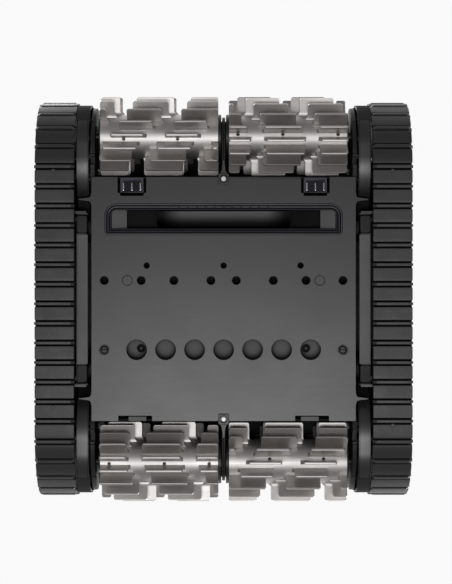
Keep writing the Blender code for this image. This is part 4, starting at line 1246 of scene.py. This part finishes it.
def vane(start):
    """One twisted impeller blade, from hub to tip."""
    steps, rings = 8, []
    for k in range(steps + 1):
        t = k / steps
        r = VANE_R[0] + (VANE_R[1] - VANE_R[0]) * t
        pitch = math.radians(48 - 26 * t)
        half = 0.0065 + 0.004 * math.sin(math.pi * t) + 0.002 * t
        ring = []
        for c, thick in VANE_SECTION:
            along, off = c * half, thick * 0.0008
            y = IMPELLER_Y + along * math.sin(pitch) + off * math.cos(pitch)
            angle = start + 0.25 * t + (along * math.cos(pitch) - off * math.sin(pitch)) / r
            ring.append((r * math.cos(angle), y, OUTLET_Z + r * math.sin(angle)))
        rings.append(ring)
    return rings


def outlet():
    centre = (0, OUTLET_Z)
    ring = Shape().lathe("y", RING_PROFILE, *centre, 96, ring=True, soft=0.0006)
    piece("outlet_ring", ring, "accent", "accent", replaces="outlet_grille")
    bars = Shape().lathe("y", BOSS_PROFILE, *centre, soft=0.0008)
    for radius in (0.017, 0.026):
        band = rectangle((0.213, 0.219), (radius - 0.0009, radius + 0.0009))
        bars.lathe("y", band, *centre, 64, ring=True, soft=0.0003)
    for i in range(18):
        ends = ((0.0075, 0.0007), (0.0352, 0.001))
        bars.spoke("y", (0.2126, 0.2186), centre, math.pi * i / 9, ends, 0.0003)
    piece("outlet_bars", bars, "black", "accent")
    rotor = Shape().lathe("y", ROTOR_PROFILE, *centre, soft=0.0015)
    for i in range(5):
        rotor.skin(vane(2 * math.pi * i / 5))
    piece("rotor", rotor, "rail", body="impeller", replaces="impeller")


def power_button():
    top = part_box("power_button")[1][2]
    profile = (
        (0.234, 0.0), (0.234, BUTTON_R), (top - 0.001, BUTTON_R), (top - 0.0002, BUTTON_R - 0.001),
        (top - 0.0008, BUTTON_R - 0.004), (top - 0.0012, 0.0),
    )
    cap = Shape().lathe("z", profile, 0, BUTTON_Y, 64, soft=0.0006)
    piece("button_cap", cap, "accent", "accent", "button", "power_button")
    bezel = (
        (0.236, 0.0106), (0.24, 0.0106), (0.2407, 0.011),
        (0.2407, 0.0128), (0.2398, 0.0138), (0.236, 0.0138),
    )
    ring = Shape().lathe("z", bezel, 0, BUTTON_Y, 64, ring=True, soft=0.0004)
    piece("button_ring", ring, "black")


def filter_basket():
    (x0, y0, z0), (x1, y1, z1) = BASKET
    wall, outline = 0.0025, rounded((x0, x1), (y0, y1), 0.012, 8)
    body = Shape().prism("z", (z0, z1 - 0.003), inset(outline, 0.0015), 0.001)
    hollow = Shape().prism("z", (z0 + wall, z1 + 0.001), inset(outline, 0.0015 + wall))
    mouth = Shape().box((-0.07, 0.07), MOUTH_Y, (z0 - 0.001, z0 + wall + 0.001), 0.0, 0.004)
    slots, sides = Shape(), Shape()
    half, step, height = 0.0021, 0.0085, 0.025
    for row in range(3):
        low = z0 + 0.02 + row * (height + 0.009)
        for i in range(19):
            x = -0.0765 + step * i
            slots.box((x - half, x + half), (y0 - 0.01, y1 + 0.01), (low, low + height))
        for i in range(16):
            y = y0 + 0.0215 + step * i
            sides.box((x0 - 0.01, x1 + 0.01), (y - half, y + half), (low, low + height))
    cuts = [hollow, mouth, slots, sides]
    piece("basket", body, "basket", "filter_white", replaces="filter_basket", cuts=cuts)
    lip = (
        (0.0, z1 - 0.004), (0.0, z1 - 0.0006), (0.0006, z1),
        (0.0034, z1), (0.004, z1 - 0.0006), (0.004, z1 - 0.004),
    )
    piece("basket_rim", Shape().skin(loops(outline, lip), closed=True), "basket", "filter_white")
    tab = Shape().box((-0.03, 0.03), (y0 + 0.004, y0 + 0.0075), (z1 - 0.026, z1 - 0.006), 0.0012, 0.0012)
    piece("basket_tab", tab, "accent", "filter_white")


def plain_nodes():
    """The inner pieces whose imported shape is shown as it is."""
    looks = {
        "wheel_axle": "steel", "brush_pinion": "black", "drive_motor": "blackened", "battery_pack": "cover",
    }
    for name, node in frame["nodes"].items():
        for start, look in looks.items():
            if name.startswith(start):
                for slot in node.material_slots:
                    slot.material = LOOKS[look]


# Stage

def area_light(name, place, target, size, power):
    light = bpy.data.lights.new(name, "AREA")
    light.shape = "RECTANGLE"
    light.size, light.size_y = size
    light.energy = power
    obj = linked(name, light)
    obj.location = place
    obj.rotation_euler = (Vector(target) - Vector(place)).to_track_quat("-Z", "Y").to_euler()


def floor():
    """A pale floor that faces up: it is clear from below, and fades out far from the middle."""
    made = bpy.data.materials.new("floor")
    made.use_nodes = True
    tree = made.node_tree
    shader = tree.nodes["Principled BSDF"]
    shader.inputs["Base Color"].default_value = (0.8, 0.8, 0.8, 1)
    shader.inputs["Roughness"].default_value = 0.6
    place = add(tree, "TexCoord").outputs["Object"]
    distance = add(tree, "VectorMath", {0: place}, operation="LENGTH").outputs["Value"]
    fade = spread(tree, distance, 0.5, 2.0, interpolation="SMOOTHSTEP")
    behind = add(tree, "NewGeometry").outputs["Backfacing"]
    hidden = add(tree, "Math", {0: behind, 1: fade}, operation="MAXIMUM").outputs[0]
    clear = add(tree, "BsdfTransparent").outputs[0]
    mix = add(tree, "MixShader", {0: hidden, 1: shader.outputs[0], 2: clear}).outputs[0]
    feed(tree, tree.nodes["Material Output"].inputs["Surface"], mix)

    mesh = bpy.data.meshes.new("floor")
    mesh.from_pydata([(x, y, -0.0004) for x, y in rectangle((-20, 20), (-20, 20))], [], [(0, 1, 2, 3)])
    mesh.materials.append(made)
    obj = linked("floor", mesh)
    for ray in ("diffuse", "glossy", "transmission", "shadow"):
        setattr(obj, "visible_" + ray, False)
    return obj


def world():
    """Pale above and darker below for what the metal mirrors, and an even pale backdrop."""
    made = bpy.data.worlds.new("studio")
    bpy.context.scene.world = made
    made.use_nodes = True
    tree = made.node_tree
    place = add(tree, "TexCoord").outputs["Generated"]
    height = add(tree, "SeparateXYZ", {0: place}).outputs["Z"]
    ramp = add(tree, "ValToRGB", {0: spread(tree, height, -1, 1)})
    shades = (0.46, grey(0.155, 0.16)), (0.6, grey(0.93))
    for stop, (at_height, colour) in zip(ramp.color_ramp.elements, shades):
        stop.position = at_height
        stop.color = (*colour, 1)
    seen = add(tree, "LightPath").outputs["Is Camera Ray"]
    backdrop = blend(tree, seen, ramp.outputs[0], (0.95, 0.95, 0.95, 1))
    feed(tree, tree.nodes["Background"].inputs["Color"], backdrop)


def stage():
    scene = bpy.context.scene
    scene.view_settings.view_transform = "Standard"
    world()
    floor()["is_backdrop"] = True
    area_light("key_below", (0, 0.44, -2.6), (0, 0, 0), (1.1, 0.6), 19.0)
    area_light("key_above", (-1.0, -1.3, 1.8), (0, 0, 0.1), (1.2, 1.2), 32)
    area_light("rim_above", (1.2, 1.4, 1.6), (0, 0, 0.1), (1.0, 1.0), 22)

    camera = bpy.data.cameras.new("camera")
    camera.lens = 110.8
    camera.sensor_width = 36
    camera.shift_x, camera.shift_y = 0.0041, 0.012
    camera.clip_start = 0.05
    obj = linked("camera", camera)
    obj.location = (0, 0, -2.112)
    obj.rotation_euler = (math.pi, 0, 0)
    scene.camera = obj


def build():
    for side in SIDE:
        track_belt(side)
        track_frame(side)
        plate_screws(side)
        cover_latch(side)
    for end in END:
        for side in SIDE:
            track_wheel(end, side)
            brush_roller(end, side)
            gear_cover(end, side)
    centre_bracket("f", "front")
    centre_bracket("b", "rear")
    bottom_plate()
    suction_bezel()
    suction_throat()
    inlet_flap()
    chassis_tub()
    upper_shell()
    lid()
    carry_handle()
    outlet()
    power_button()
    filter_basket()
    plain_nodes()
    stage()


build()
boxes = {"cad": CAD_BOX, "visual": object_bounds()}
{name: [[float(v) for v in corner] for corner in box] for name, box in boxes.items()}
